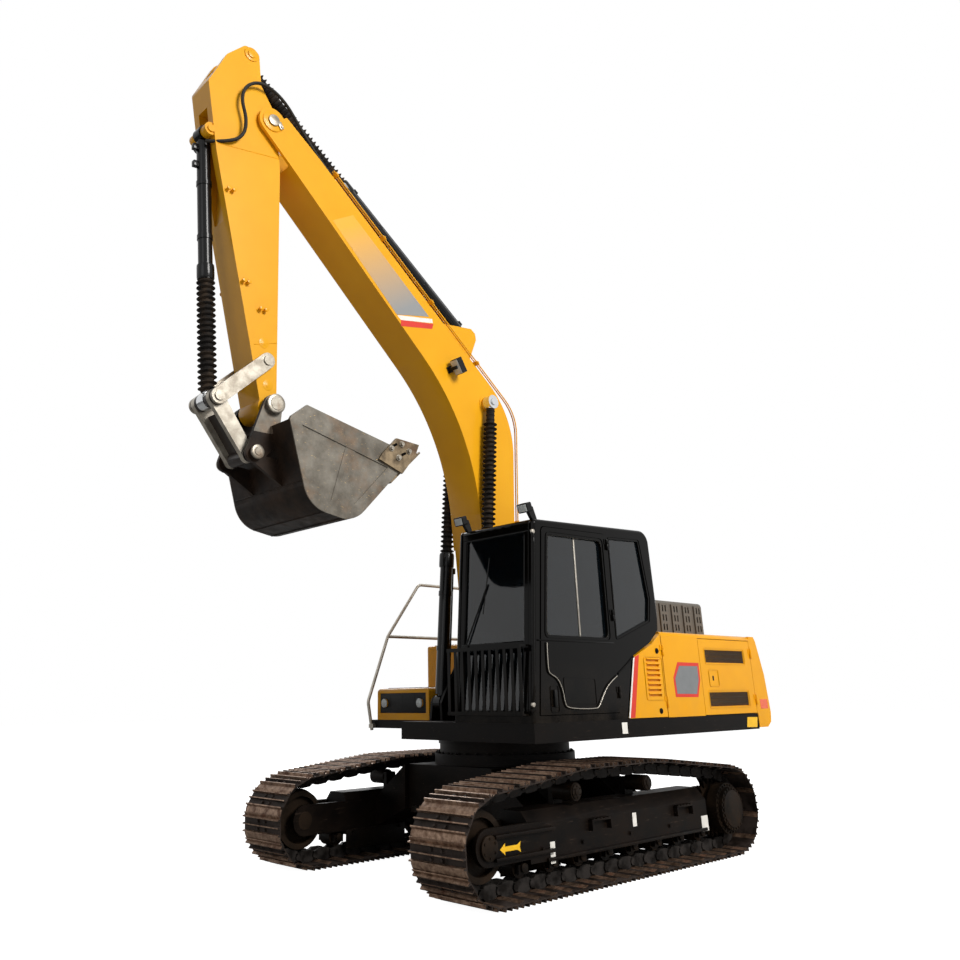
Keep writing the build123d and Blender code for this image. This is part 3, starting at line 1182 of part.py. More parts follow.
def rocker():
    """Two bars from the stick's pivot to the common pin, with its stubs in their ends."""
    y0 = STICK_HALF + CLEAR
    y1 = y0 + ROCKER_T
    rx, rz = ROCKER_AT
    cx, cz = COMMON_AT
    near = BUCKET_CYL["eye_half"] + CLEAR
    whole = shaft(rx, rz, PIN_R, -y1 - PIN_OUT, y1 + PIN_OUT)
    for s in (-1, 1):
        whole += hull_of([(rx, rz, ROCKER_R), (cx, cz, ROCKER_R)], *sorted((s * y0, s * y1)))
        whole += shaft(cx, cz, PIN_R, *sorted((s * near, s * (y1 + PIN_OUT))))
    return whole


def bucket_link():
    """Link from the common pin to the bucket's ears: two bars joined by its lower hub."""
    cx, cz = COMMON_AT
    lx, lz = LINK_AT
    body = shaft(lx, lz, LINK_HUB_R, -STICK_HALF, STICK_HALF)
    for s in (-1, 1):
        y0, y1 = sorted((s * LINK_BAR_Y, s * (LINK_BAR_Y + LINK_BAR_T)))
        body += hull_of([(cx, cz, LINK_HEAD_R), (lx, lz, LINK_HUB_R - 3.0)], y0, y1)
        body += shaft(cx, cz, LINK_HEAD_R, *sorted((s * (BUCKET_CYL["eye_half"] + CLEAR),
                                                    s * STICK_HALF)))
    length, angle = heading(COMMON_AT, LINK_AT)
    web = box(LINK_WEB_FROM, length, -LINK_BAR_Y - CLEAR, LINK_BAR_Y + CLEAR, -LINK_WEB_T / 2,
              LINK_WEB_T / 2)
    body += place(COMMON_AT, angle) * web
    return body - shaft(cx, cz, PIN_R + FIT, -STICK_HALF, STICK_HALF)


def bucket():
    """Bucket shell: wrapped back and floor, raised side plates with wear strips, hinge ears
    that run out in gussets along its back, and the beam between."""
    outer = [BUCKET_BACK_TOP, BUCKET_HEEL, BUCKET_FLOOR, BUCKET_LIP]
    rounds = [BUCKET_HEEL + (BUCKET_HEEL_R,), BUCKET_FLOOR + (BUCKET_HEEL_R,)]
    inner = BUCKET_HALF - BUCKET_T
    body = plate(outer, -BUCKET_HALF, BUCKET_HALF, rounds)
    hollow = offset(outline(outer, rounds), amount=-BUCKET_T)
    body -= Pos(0, -inner, 0) * extrude(hollow, amount=2 * inner, dir=(0, 1, 0))
    (bp, bq), (lp, lq) = BUCKET_BACK_TOP, BUCKET_LIP
    body -= plate([(bp + 2.6 * BUCKET_T, 0.0), (bp + 2.6 * BUCKET_T, bq + 3 * BUCKET_T),
                   (lp - 3.6 * BUCKET_T, lq + 2.6 * BUCKET_T), (lp - 3.6 * BUCKET_T, 0.0)],
                  -inner, inner)
    angle = heading(BUCKET_BACK_TOP, BUCKET_HEEL)[1]
    beam_foot, gusset_tip = [point(BUCKET_BACK_TOP, angle, (along, -BUCKET_T / 2))
                             for along in (BEAM_TO, GUSSET_TO)]
    body += plate([BUCKET_BACK_TOP, beam_foot, BEAM_EDGE], -inner, inner)
    # Side plates above the mouth, and the strips on the sides
    (hp, hq), (fp, fq) = BUCKET_HEEL, BUCKET_FLOOR
    above = [(2 * bp - hp, 2 * bq - hq), BUCKET_HEEL, BUCKET_FLOOR, (2 * lp - fp, 2 * lq - fq)]
    field = offset(outline(above, rounds), amount=-WEAR_W)
    out = BUCKET_HALF + STRIP_T
    for s in (-1, 1):
        body += plate([BUCKET_BACK_TOP, *BUCKET_SIDE_TOP, BUCKET_LIP], *sorted((s * inner, s * out)))
        y0, y1 = sorted((s * BUCKET_HALF, s * out))
        strip = plate(outer, y0, y1, rounds)
        strip -= Pos(0, y0, 0) * extrude(field, amount=y1 - y0, dir=(0, 1, 0))
        body += strip
        body += plate(BUCKET_RIB, *sorted((s * BUCKET_HALF, s * (out - STRIP_T / 2))))
    near = STICK_HALF + ROCKER_T + 2 * CLEAR
    far = near + EAR_T
    link_p, link_q = BUCKET_LINK_PIN
    for s in (-1, 1):
        y0, y1 = sorted((s * near, s * far))
        body += hull_of([(0, 0, PIN_EAR_R), (link_p, link_q, LINK_EAR_R), (60.0, 330.0, 60.0)], y0, y1)
        body += plate([(link_p, link_q + LINK_EAR_R - CLEAR), (link_p + LINK_EAR_R, link_q),
                       beam_foot, gusset_tip], y0, y1)
        body += shaft(link_p, link_q, 50.0, *sorted((s * (STICK_HALF + CLEAR), s * (far + PIN_OUT))))
        body += shaft(0, 0, 75.0, *sorted((s * near, s * (far + PIN_OUT))))
    body += shaft(0, 0, PIN_R, -far - 2 * PIN_OUT, far + 2 * PIN_OUT)
    return place(BUCKET_PIN, BUCKET_ANGLE) * body


def bucket_teeth(shell):
    """Teeth along the lip, one solid each, forked over the edge of the bucket's floor."""
    length, angle = heading(BUCKET_LIP, (BUCKET_R, 0.0))
    spread = 2 * BUCKET_HALF - TOOTH_W - 20.0
    tooth = plate([(-TOOTH_BACK, -TOOTH_T / 2), (length, -TOOTH_TIP), (length, TOOTH_TIP),
                   (-TOOTH_BACK, TOOTH_T / 2)], -TOOTH_W / 2, TOOTH_W / 2)
    found = []
    for k in range(TOOTH_COUNT):
        y = -spread / 2 + k * spread / (TOOTH_COUNT - 1)
        whole = Pos(0, y, 0) * (place(BUCKET_PIN, BUCKET_ANGLE) * place(BUCKET_LIP, angle) * tooth)
        found.append((whole - shell).solids().sort_by(SortBy.VOLUME)[-1])
    return found


def side_cutters():
    """Cutter plate on the front edge of each side of the bucket."""
    y = BUCKET_HALF + STRIP_T
    return [place(BUCKET_PIN, BUCKET_ANGLE) * plate(CUTTER, *sorted((s * y, s * (y + CUTTER_T))))
            for s in (-1, 1)]


def build():
    """All pieces by node name, each a list of solids, before the move to the origin."""
    nodes = {}
    nodes["car_body"] = [car_body()]
    nodes["frame_legs"] = frame_legs()
    nodes["swing_ring"] = [swing_ring()]
    for name, side in (("left", 1), ("right", -1)):
        nodes["track_" + name] = [track(side)]
        nodes["track_frame_" + name] = [track_frame(side)]
    nodes["idlers"] = [idler(1), idler(-1)]
    nodes["sprockets"] = [sprocket(1), sprocket(-1)]
    nodes["track_rollers"] = [roller for side in (1, -1)
                              for roller in track_rollers(side) + carrier_rollers(side)]
    nodes["turntable"] = [turntable()]
    nodes["counterweight"] = [counterweight()]
    nodes["engine"] = [engine()]
    nodes["hood"] = [hood()]
    nodes["louvre_door"] = [louvre_door()]
    nodes["left_rear_door"] = [rear_door(1)]
    nodes["right_rear_door"] = [rear_door(-1)]
    nodes["engine_cowl"] = [cowl()]
    nodes["fuel_tank"] = [fuel_tank()]
    nodes["hydraulic_tank"] = [hydraulic_tank()]
    nodes["tool_box"] = [tool_box()]
    nodes["handrail"] = [handrail()]
    for name, solid in cab_parts().items():
        nodes[name] = [solid]
    nodes["cab_door"] = [cab_door()]
    nodes["door_glass"] = [door_glass()]
    nodes["cab_glass"] = cab_glass()
    nodes["operator_seat"] = [operator_seat()]
    nodes["front_guard"] = [front_guard()]
    nodes["roof_lamps"] = roof_lamps()
    nodes["boom"] = [boom()]
    nodes["boom_pipes"] = boom_pipes()
    nodes["boom_lamp"] = [boom_lamp()]
    nodes["stick"] = [stick()]
    nodes["boom_barrels"] = [barrel(RAM_FOOT, RAM_HEAD, BOOM_CYL, y) for y in (RAM_Y, -RAM_Y)]
    nodes["boom_rods"] = [rod(RAM_FOOT, RAM_HEAD, BOOM_CYL, y) for y in (RAM_Y, -RAM_Y)]
    nodes["boom_bellows"] = [bellows(RAM_FOOT, RAM_HEAD, BOOM_CYL, y) for y in (RAM_Y, -RAM_Y)]
    nodes["stick_barrel"] = [barrel(STICK_RAM_FOOT, STICK_RAM_HEAD, STICK_CYL, 0.0)]
    nodes["stick_rod"] = [rod(STICK_RAM_FOOT, STICK_RAM_HEAD, STICK_CYL, 0.0)]
    nodes["stick_bellows"] = [bellows(STICK_RAM_FOOT, STICK_RAM_HEAD, STICK_CYL, 0.0)]
    nodes["bucket_barrel"] = [barrel(BUCKET_RAM_FOOT, COMMON_AT, BUCKET_CYL, 0.0)]
    nodes["bucket_rod"] = [rod(BUCKET_RAM_FOOT, COMMON_AT, BUCKET_CYL, 0.0)]
    nodes["bucket_bellows"] = [bellows(BUCKET_RAM_FOOT, COMMON_AT, BUCKET_CYL, 0.0)]
    nodes["rocker"] = [rocker()]
    nodes["bucket_link"] = [bucket_link()]
    shell = bucket()
    nodes["bucket"] = [shell]
    nodes["bucket_teeth"] = bucket_teeth(shell) + side_cutters()
    return nodes


def middle_of(nodes):
    """X of the middle of the whole machine's box."""
    low = min(s.bounding_box().min.X for solids in nodes.values() for s in solids)
    high = max(s.bounding_box().max.X for solids in nodes.values() for s in solids)
    return (low + high) / 2


def main():
    nodes = build()
    shift = Pos(-middle_of(nodes), 0, 0)
    os.makedirs("parts", exist_ok=True)
    for name, solids in nodes.items():
        moved = [part for solid in solids for part in (shift * solid).solids()]
        whole = moved[0] if len(moved) == 1 else Compound(children=moved)
        export_step(whole, "parts/" + name + ".step")
    print("swing axis moved by", -middle_of(nodes))


if __name__ == "__main__":
    main()
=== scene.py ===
import math

import bmesh
import bpy
from mathutils import Matrix, Vector


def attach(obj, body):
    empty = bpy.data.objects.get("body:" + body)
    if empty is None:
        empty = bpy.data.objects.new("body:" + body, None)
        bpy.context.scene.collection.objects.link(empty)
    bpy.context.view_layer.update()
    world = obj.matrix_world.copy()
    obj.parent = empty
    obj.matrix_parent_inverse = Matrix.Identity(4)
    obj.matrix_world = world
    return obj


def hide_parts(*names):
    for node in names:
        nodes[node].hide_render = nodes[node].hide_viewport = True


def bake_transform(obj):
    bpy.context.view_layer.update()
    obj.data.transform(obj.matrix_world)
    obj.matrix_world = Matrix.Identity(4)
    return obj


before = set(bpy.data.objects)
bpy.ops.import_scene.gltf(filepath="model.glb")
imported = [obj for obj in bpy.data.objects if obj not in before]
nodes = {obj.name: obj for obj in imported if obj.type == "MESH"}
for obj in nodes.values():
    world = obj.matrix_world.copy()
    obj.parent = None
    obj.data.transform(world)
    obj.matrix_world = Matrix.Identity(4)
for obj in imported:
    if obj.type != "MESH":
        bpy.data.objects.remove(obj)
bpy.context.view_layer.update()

# Lengths are metres. Readings are taken from the swing axis, which stands at SWING_X in the frame.
SWING_X = -0.450594


def spot(x, y, z):
    return Vector((x + SWING_X, y, z))


def moved(x, y, z):
    return Matrix.Translation((x, y, z))


def turned(degrees, axis):
    return Matrix.Rotation(math.radians(degrees), 4, axis)


def laid(origin_x, origin_z, degrees):
    """Frame of an arm or a cylinder: its own X runs along it, its Z square to that."""
    return Matrix.Translation(spot(origin_x, 0.0, origin_z)) @ turned(-degrees, "Y")


HERE = Matrix.Translation(spot(0.0, 0.0, 0.0))
BOOM_DEGREES = 58.23
BOOM = laid(0.165, 1.935, BOOM_DEGREES)
STICK = laid(3.1682, 6.7843, -93.08)
BUCKET = laid(3.0113, 3.8675, -170.34)

# Outer faces of the left side that trim sits on
SIDE_Y = 1.36
CAB_Y = 1.352
BOOM_Y = 0.22
STICK_Y = 0.165
CUTTER_Y = 0.585
SEAT_Y = 0.872


# Materials

def linear(hexcode):
    """Linear colour of an sRGB hex value."""
    parts = [int(hexcode[i:i + 2], 16) / 255 for i in (0, 2, 4)]
    return [p / 12.92 if p <= 0.04045 else ((p + 0.055) / 1.055) ** 2.4 for p in parts] + [1.0]


def add(tree, kind, sockets=None, **settings):
    """Adds a shader node with its settings, fills or links its sockets, and returns its outputs."""
    made = tree.nodes.new(kind)
    for name, value in settings.items():
        setattr(made, name, value)
    for key, value in (sockets or {}).items():
        if isinstance(value, bpy.types.NodeSocket):
            tree.links.new(value, made.inputs[key])
        else:
            made.inputs[key].default_value = linear(value) if isinstance(value, str) else value
    return made.outputs


def surface(name, **values):
    """A material, its Principled shader with these values, and its object coordinates."""
    made = bpy.data.materials.new(name)
    made.use_nodes = True
    shader = made.node_tree.nodes["Principled BSDF"]
    for key, value in values.items():
        shader.inputs[key.replace("_", " ")].default_value = value
    return made, shader, add(made.node_tree, "ShaderNodeTexCoord")["Object"]


def feed(shader, **sockets):
    """Links values to the shader's sockets."""
    for key, value in sockets.items():
        shader.id_data.links.new(value, shader.inputs[key.replace("_", " ")])


def patches(place, size_mm, low, high, detail=5.0, stretch=(1.0, 1.0, 1.0)):
    """Soft patches of about that size, as a value from 0 to 1."""
    tree = place.id_data
    spread = add(tree, "ShaderNodeMapping", {"Vector": place, "Scale": stretch})[0]
    noise = add(tree, "ShaderNodeTexNoise", {"Vector": spread, "Scale": 1000.0 / size_mm, "Detail": detail,
                                             "Roughness": 0.6})[0]
    return add(tree, "ShaderNodeMapRange", {"Value": noise, "From Min": low, "From Max": high})[0]


def mottled(place, colour, other, *spread):
    """The colour with soft patches of the other, spread as patches says."""
    sockets = {0: patches(place, *spread), 6: colour, 7: other}
    return add(place.id_data, "ShaderNodeMix", sockets, data_type="RGBA")[2]


def grain(shader, place, size_mm, detail, strength, distance=0.001):
    """Fine unevenness of about that size, that breaks up the shine."""
    height = patches(place, size_mm, 0.3, 0.7, detail)
    bump = add(shader.id_data, "ShaderNodeBump",
               {"Height": height, "Strength": strength, "Distance": distance})
    feed(shader, Normal=bump[0])


def soiled(shader, place, colour, dust_colour, clean, dull, strength, floor_z, top_z):
    """Road dust on a colour: thick near floor_z, gone at top_z, broken up in patches. It dulls the gloss."""
    tree = shader.id_data
    height = add(tree, "ShaderNodeSeparateXYZ", {0: place})[2]
    fade = add(tree, "ShaderNodeMapRange", {"Value": height, "From Min": floor_z, "From Max": top_z,
                                            "To Min": strength, "To Max": 0.0})[0]
    cloud = patches(place, 260.0, 0.35, 0.65)
    dirt = add(tree, "ShaderNodeMath", {0: fade, 1: cloud}, operation="MULTIPLY")[0]
    feed(shader,
         Base_Color=add(tree, "ShaderNodeMix", {0: dirt, 6: colour, 7: dust_colour}, data_type="RGBA")[2],
         Roughness=add(tree, "ShaderNodeMapRange", {"Value": dirt, "To Min": clean, "To Max": dull})[0])


def enamel(name, colour, deep, *dust):
    """Sprayed two-pack machine enamel: even colour, a soft gloss and a little orange peel."""
    made, shader, place = surface(name, Specular_IOR_Level=0.18, Coat_Weight=0.10, Coat_Roughness=0.12)
    shade = mottled(place, colour, deep, 900.0, 0.3, 0.7, 3.0)
    soiled(shader, place, shade, "8A745A", 0.32, 0.8, *dust)
    grain(shader, place, 9.0, 2.0, 0.06)
    return made


def dark_paint(name, colour, dust_colour, *dust):
    """Satin black chassis paint: brown dust lies on it and dulls it, scratches show paler."""
    made, shader, place = surface(name, Specular_IOR_Level=0.09)
    worn = mottled(place, colour, "3A3029", 45.0, 0.62, 0.75, 8.0, (0.3, 1.0, 3.0))
    soiled(shader, place, worn, dust_colour, 0.38, 0.9, *dust)
    grain(shader, place, 14.0, 4.0, 0.12)
    return made


def gloss_black(name, colour, *dust):
    """Glossy black cab enamel: deep and mirror-like, with a veil of pale dust low down."""
    made, shader, place = surface(name, Specular_IOR_Level=0.10)
    soiled(shader, place, colour, "4E4338", 0.09, 0.6, *dust)
    grain(shader, place, 14.0, 2.0, 0.03)
    return made


def digging_paint():
    """Bucket: black paint worn to grey steel on its sides and ears, with rust and pale scrapes."""
    made, shader, place = surface("worn bucket paint", Specular_IOR_Level=0.14)
    tree = made.node_tree
    axes = add(tree, "ShaderNodeSeparateXYZ", {0: place})
    out = add(tree, "ShaderNodeMath", {0: axes[1]}, operation="ABSOLUTE")[0]
    side = add(tree, "ShaderNodeMath", {0: out, 1: 0.5485}, operation="GREATER_THAN")[0]
    ear = add(tree, "ShaderNodeMath", {0: out, 1: 0.262, 2: 0.0145}, operation="COMPARE")[0]
    high = add(tree, "ShaderNodeMath", {0: axes[2], 1: 3.60}, operation="GREATER_THAN")[0]
    ear = add(tree, "ShaderNodeMath", {0: ear, 1: high}, operation="MULTIPLY")[0]
    bright = add(tree, "ShaderNodeMath", {0: side, 1: ear}, operation="MAXIMUM")[0]
    steel = mottled(place, "7C776E", "5C574F", 170.0, 0.35, 0.65, 6.0)
    steel = mottled(place, steel, "7A5B40", 420.0, 0.50, 0.75, 8.0)
    steel = mottled(place, steel, "C0A472", 30.0, 0.66, 0.74, 3.0, (1.0, 1.0, 4.0))
    black = mottled(place, "17120F", "3A2A1E", 300.0, 0.4, 0.8, 8.0)
    rough = patches(place, 90.0, 0.3, 0.7, 6.0)
    feed(shader,
         Base_Color=add(tree, "ShaderNodeMix", {0: bright, 6: black, 7: steel}, data_type="RGBA")[2],
         Metallic=add(tree, "ShaderNodeMath", {0: bright, 1: 0.45}, operation="MULTIPLY")[0],
         Roughness=add(tree, "ShaderNodeMapRange", {"Value": rough, "To Min": 0.4, "To Max": 0.62})[0])
    grain(shader, place, 16.0, 6.0, 0.2, 0.0015)
    return made


def link_steel():
    """Bucket link: bright bars, with the tube and the plate between them black and greasy."""
    made, shader, place = surface("greased link steel", Specular_IOR_Level=0.4)
    tree = made.node_tree
    axes = add(tree, "ShaderNodeSeparateXYZ", {0: place})
    out = add(tree, "ShaderNodeMath", {0: axes[1]}, operation="ABSOLUTE")[0]
    bars = add(tree, "ShaderNodeMath", {0: out, 1: 0.130, 2: 0.0262}, operation="COMPARE")[0]
    steel = mottled(place, "B9B3A6", "8F877B", 110.0, 0.35, 0.65, 6.0)
    rough = patches(place, 70.0, 0.3, 0.7, 6.0)
    feed(shader,
         Base_Color=add(tree, "ShaderNodeMix", {0: bars, 6: "1E1611", 7: steel}, data_type="RGBA")[2],
         Metallic=add(tree, "ShaderNodeMath", {0: bars, 1: 0.7}, operation="MULTIPLY")[0],
         Roughness=add(tree, "ShaderNodeMapRange", {"Value": rough, "To Min": 0.34, "To Max": 0.52})[0])
    grain(shader, place, 12.0, 6.0, 0.2)
    return made


def bare_metal(name, pale, dark, rust, size_mm, rusty, rough):
    """Worn bare steel: bright where it rubs, with brown rust bloom in patches."""
    made, shader, place = surface(name)
    tree = made.node_tree
    worn = mottled(place, pale, dark, size_mm, 0.35, 0.65, 6.0)
    bloom = patches(place, size_mm * 2.5, 0.62 - rusty, 0.80 - rusty, 8.0)
    feed(shader,
         Base_Color=add(tree, "ShaderNodeMix", {0: bloom, 6: worn, 7: rust}, data_type="RGBA")[2],
         Metallic=add(tree, "ShaderNodeMapRange", {"Value": bloom, "To Min": 0.85, "To Max": 0.1})[0],
         Roughness=add(tree, "ShaderNodeMapRange", {"Value": bloom, "To Min": rough, "To Max": 0.85})[0])
    grain(shader, place, 12.0, 6.0, 0.25, 0.0015)
    return made


def plain(name, colour, rough, bump=0.1, size_mm=6.0, **values):
    """Moulded or printed stuff of one colour, slightly uneven, with a fine grain."""
    made, shader, place = surface(name, Roughness=rough, **values)
    tree = made.node_tree
    cloud = patches(place, 90.0, 0.2, 0.8)
    tone = add(tree, "ShaderNodeMapRange", {"Value": cloud, "To Min": 0.9, "To Max": 1.1})[0]
    feed(shader, Base_Color=add(tree, "ShaderNodeHueSaturation", {"Color": colour, "Value": tone})[0])
    grain(shader, place, size_mm, 2.0, bump)
    return made


def ribbed_rubber():
    """Moulded bellows rubber: matt black, brown dust caught in the folds."""
    made, shader, place = surface("bellows rubber", Roughness=0.75, Specular_IOR_Level=0.15)
    feed(shader, Base_Color=mottled(place, "171412", "45382C", 130.0, 0.45, 0.75, 6.0))
    grain(shader, place, 8.0, 3.0, 0.2)
    return made


def window_glass():
    """Tinted safety glass: dark and smooth, with a blue-grey body colour and a faint haze."""
    made, shader, place = surface("tinted safety glass", IOR=1.5, Transmission_Weight=0.9)
    tree = made.node_tree
    haze = patches(place, 300.0, 0.4, 0.8)
    feed(shader,
         Base_Color=add(tree, "ShaderNodeMix", {0: haze, 6: "1C2931", 7: "2B3A44"}, data_type="RGBA")[2],
         Roughness=add(tree, "ShaderNodeMapRange", {"Value": haze, "To Min": 0.02, "To Max": 0.09})[0])
    return made


def woven_fabric():
    """Seat cloth: a plain weave of dark grey yarn, drawn coarse enough to show."""
    made, shader, place = surface("woven seat cloth", Roughness=0.9, Sheen_Weight=0.3)
    tree = made.node_tree
    warp, weft = [add(tree, "ShaderNodeTexWave", {"Vector": place, "Scale": 60.0}, bands_direction=way)[1]
                  for way in "YZ"]
    cross = add(tree, "ShaderNodeMath", {0: warp, 1: weft}, operation="MULTIPLY")[0]
    feed(shader,
         Base_Color=add(tree, "ShaderNodeMix", {0: cross, 6: "1C1D1F", 7: "3C3E42"}, data_type="RGBA")[2],
         Normal=add(tree, "ShaderNodeBump", {"Height": cross, "Strength": 0.4, "Distance": 0.001})[0])
    return made


def fading_grey():
    """Printed film on the boom's side: grey that fades out toward the nose along the boom."""
    made, shader, place = surface("grey printed film", Roughness=0.4)
    tree = made.node_tree
    level = add(tree, "ShaderNodeVectorRotate", {"Vector": place, "Axis": (0.0, 1.0, 0.0),
                                                 "Angle": math.radians(BOOM_DEGREES)})[0]
    along = add(tree, "ShaderNodeSeparateXYZ", {0: level})[0]
    fade = add(tree, "ShaderNodeMapRange", {"Value": along, "From Min": 5.0, "From Max": 6.0})[0]
    feed(shader,
         Base_Color=add(tree, "ShaderNodeMix", {0: fade, 6: "8D8F90", 7: "EEAC1C"}, data_type="RGBA")[2])
    return made


# Sprayed paint: even yellow with a soft gloss, mirror black on the cab, satin black under brown dust
YELLOW = enamel("yellow machine enamel", "F0A90C", "E89F08", 0.16, 0.9, 1.9)
ARM_YELLOW = enamel("yellow arm enamel", "EEAC1C", "E7A214", 0.0, 0.0, 0.1)
CAB_BLACK = gloss_black("black cab enamel", "080706", 0.20, 1.1, 1.75)
CHASSIS = dark_paint("black chassis paint", "080605", "2C1F15", 0.34, 0.0, 1.5)
COWL = dark_paint("grey cowl paint", "6A655E", "6A6053", 0.2, 1.9, 3.0)
WHEEL_STEEL = dark_paint("dusty wheel paint", "0E0B08", "38291C", 0.6, 0.0, 1.4)
BUCKET_STEEL = digging_paint()

# Steel: brown and dull where it lies in soil, bright where it rubs, mirror-like on the chromed rods
LINK_STEEL = link_steel()
TRACK_RUST = bare_metal("rusted shoe steel", "2C221C", "1A1410", "24170F", 60.0, 0.22, 0.6)
TRACK_WORN = bare_metal("worn grouser steel", "957C69", "5F4838", "583520", 40.0, 0.10, 0.45)
CHAIN_STEEL = bare_metal("oily chain steel", "1C1815", "100D0B", "18110C", 50.0, 0.2, 0.55)
BARE = bare_metal("worn bare steel", "A9A397", "7F776B", "7D5F45", 90.0, 0.04, 0.36)
TOOTH_STEEL = bare_metal("worn tooth steel", "8C7B62", "4E4335", "5A3E28", 110.0, 0.08, 0.5)
CHROME = bare_metal("hard chromed rod", "DADCDD", "D2D4D6", "B9B4AC", 60.0, -0.2, 0.08)
GALVANISED = bare_metal("galvanised tube", "BDB7AC", "A8A196", "8A7A66", 60.0, -0.02, 0.4)

# Rubber, plastic, glass and cloth: matt and grained, but for the smooth glass
RUBBER = ribbed_rubber()
HOSE = plain("braided hose rubber", "24221E", 0.6, 0.3, 4.0, Specular_IOR_Level=0.2)
GASKET = plain("rubber gasket", "0A0908", 0.7, Specular_IOR_Level=0.15)
BLACK_PLASTIC = plain("grained black plastic", "121212", 0.5, 0.25, 3.0, Specular_IOR_Level=0.15)
GLASS = window_glass()
FABRIC = woven_fabric()
LENS = plain("lamp glass", "D9DDDC", 0.08, 0.3, 18.0, Transmission_Weight=0.3)

# One even colour: smooth paint of the cylinders and grilles, printed film with a dull sheen, and a flat
# painted shade black for the shadowed insides of slot holes and sockets
CYLINDER = plain("black cylinder enamel", "0D0D0E", 0.22, 0.04, 9.0, Specular_IOR_Level=0.15,
                 Coat_Weight=0.12)
GRILLE_MESH = plain("painted grille mesh", "4C433A", 0.6, 0.2, 3.0, Specular_IOR_Level=0.2)
WHITE_FILM = plain("white printed film", "ECE9E2", 0.35, 0.02)
RED_FILM = plain("red printed film", "D5301F", 0.35, 0.02)
GREY_FILM = plain("grey printed film panel", "777A7C", 0.4, 0.02)
ARROW_FILM = plain("yellow printed film", "F4BD18", 0.35, 0.02)
REFLECTOR = plain("orange reflector sheet", "E8591C", 0.25, 0.3, 5.0, Coat_Weight=0.6)
BOOM_FILM = fading_grey()
# Painted shade: flat black that stands in for the shadow inside slot holes and sockets
PAINTED_SHADE_BLACK = plain("painted shade black", "080706", 0.9, Specular_IOR_Level=0.05)

# Material slot of the pieces in each finish
SLOTS = {finish: slot for slot, finishes in {
    "panel_yellow": (YELLOW, ARM_YELLOW, RED_FILM, GREY_FILM, BOOM_FILM, REFLECTOR),
    "frame_black": (CHASSIS, WHITE_FILM, ARROW_FILM, HOSE, CYLINDER, BUCKET_STEEL),
    "lamp_black": (GASKET, BLACK_PLASTIC, GRILLE_MESH, LENS, PAINTED_SHADE_BLACK),
    "wheel_steel": (WHEEL_STEEL, CHAIN_STEEL),
    "bare_steel": (BARE, GALVANISED),
    "track_steel": (TRACK_RUST,),
    "cab_black": (CAB_BLACK,),
    "bellows_rubber": (RUBBER,),
    "seat_fabric": (FABRIC,),
}.items() for finish in finishes}


# Mesh tools

def block(mesh, a, b, where=HERE, soft=0.0, turn=None):
    """A block between two opposite corners, its edges rounded by soft."""
    a, b = Vector(a), Vector(b)
    made = bmesh.ops.create_cube(mesh, size=1.0)["verts"]
    bmesh.ops.scale(mesh, vec=[abs(side) for side in b - a], verts=made)
    if soft > 0:
        edges = list({e for v in made for e in v.link_edges})
        cut = bmesh.ops.bevel(mesh, geom=made + edges, offset=soft, offset_type="OFFSET", affect="EDGES",
                              segments=2, profile=0.5, material=-1)
        made = list(set(cut["verts"]) | {v for f in cut["faces"] for v in f.verts})
    place = where @ Matrix.Translation((a + b) / 2)
    bmesh.ops.transform(mesh, matrix=place @ turn if turn else place, verts=made)


def bar(mesh, a, b, r, sides=20, r2=None, soft=0.0, where=HERE):
    """A round bar from a to b, tapered to r2, its end edges rounded by soft."""
    a, b = where @ Vector(a), where @ Vector(b)
    run = b - a
    place = Matrix.Translation((a + b) / 2) @ run.to_track_quat("Z", "Y").to_matrix().to_4x4()
    made = bmesh.ops.create_cone(mesh, cap_ends=True, segments=sides, radius1=r,
                                 radius2=r if r2 is None else r2, depth=run.length)["verts"]
    if soft > 0:
        edges = [e for e in {e for v in made for e in v.link_edges}
                 if abs(e.verts[0].co.z - e.verts[1].co.z) < 1e-6]
        cut = bmesh.ops.bevel(mesh, geom=edges, offset=soft, offset_type="OFFSET", affect="EDGES",
                              segments=2, profile=0.5, material=-1)
        made = list({v for v in made if v.is_valid} | {v for f in cut["faces"] for v in f.verts})
    bmesh.ops.transform(mesh, matrix=place, verts=made)


def disc(mesh, x, y, z, deep, r, sides, soft, where=HERE):
    """A flat disc that stands deep out of a side face."""
    bar(mesh, (x, y, z), (x, y + deep, z), r, sides, soft=soft, where=where)


def bolt(mesh, at, axis, r=0.018, where=HERE):
    """A hexagon bolt head on its washer."""
    at, axis = Vector(at), Vector(axis).normalized()
    bar(mesh, at, at + axis * r * 0.3, r * 1.35, 14, where=where)
    bar(mesh, at + axis * r * 0.3, at + axis * r * 1.2, r, 6, r * 0.94, where=where)


def bolt_ring(mesh, at, axis, ring_r, count, r, where=HERE):
    """Bolts on a circle round an axis along Y."""
    for k in range(count):
        a = 2 * math.pi * (k + 0.5) / count
        bolt(mesh, (at[0] + ring_r * math.cos(a), at[1], at[2] + ring_r * math.sin(a)), axis, r, where)


def slab(mesh, outline, y0, y1, where=HERE, soft=0.0):
    """A plate of that outline in the plane of X and Z, from y0 to y1."""
    corners = [mesh.verts.new(where @ Vector((x, y0, z))) for x, z in outline]
    face = mesh.faces.new(corners)
    grown = bmesh.ops.extrude_face_region(mesh, geom=[face])["geom"]
    far = [g for g in grown if isinstance(g, bmesh.types.BMVert)]
    bmesh.ops.translate(mesh, vec=where.to_3x3() @ Vector((0.0, y1 - y0, 0.0)), verts=far)
    whole = list({f for v in corners + far for f in v.link_faces})
    bmesh.ops.recalc_face_normals(mesh, faces=whole)
    if soft > 0:
        edges = list({e for f in whole for e in f.edges})
        bmesh.ops.bevel(mesh, geom=edges, offset=soft, offset_type="OFFSET", affect="EDGES", segments=2,
                        profile=0.5, material=-1, clamp_overlap=True)


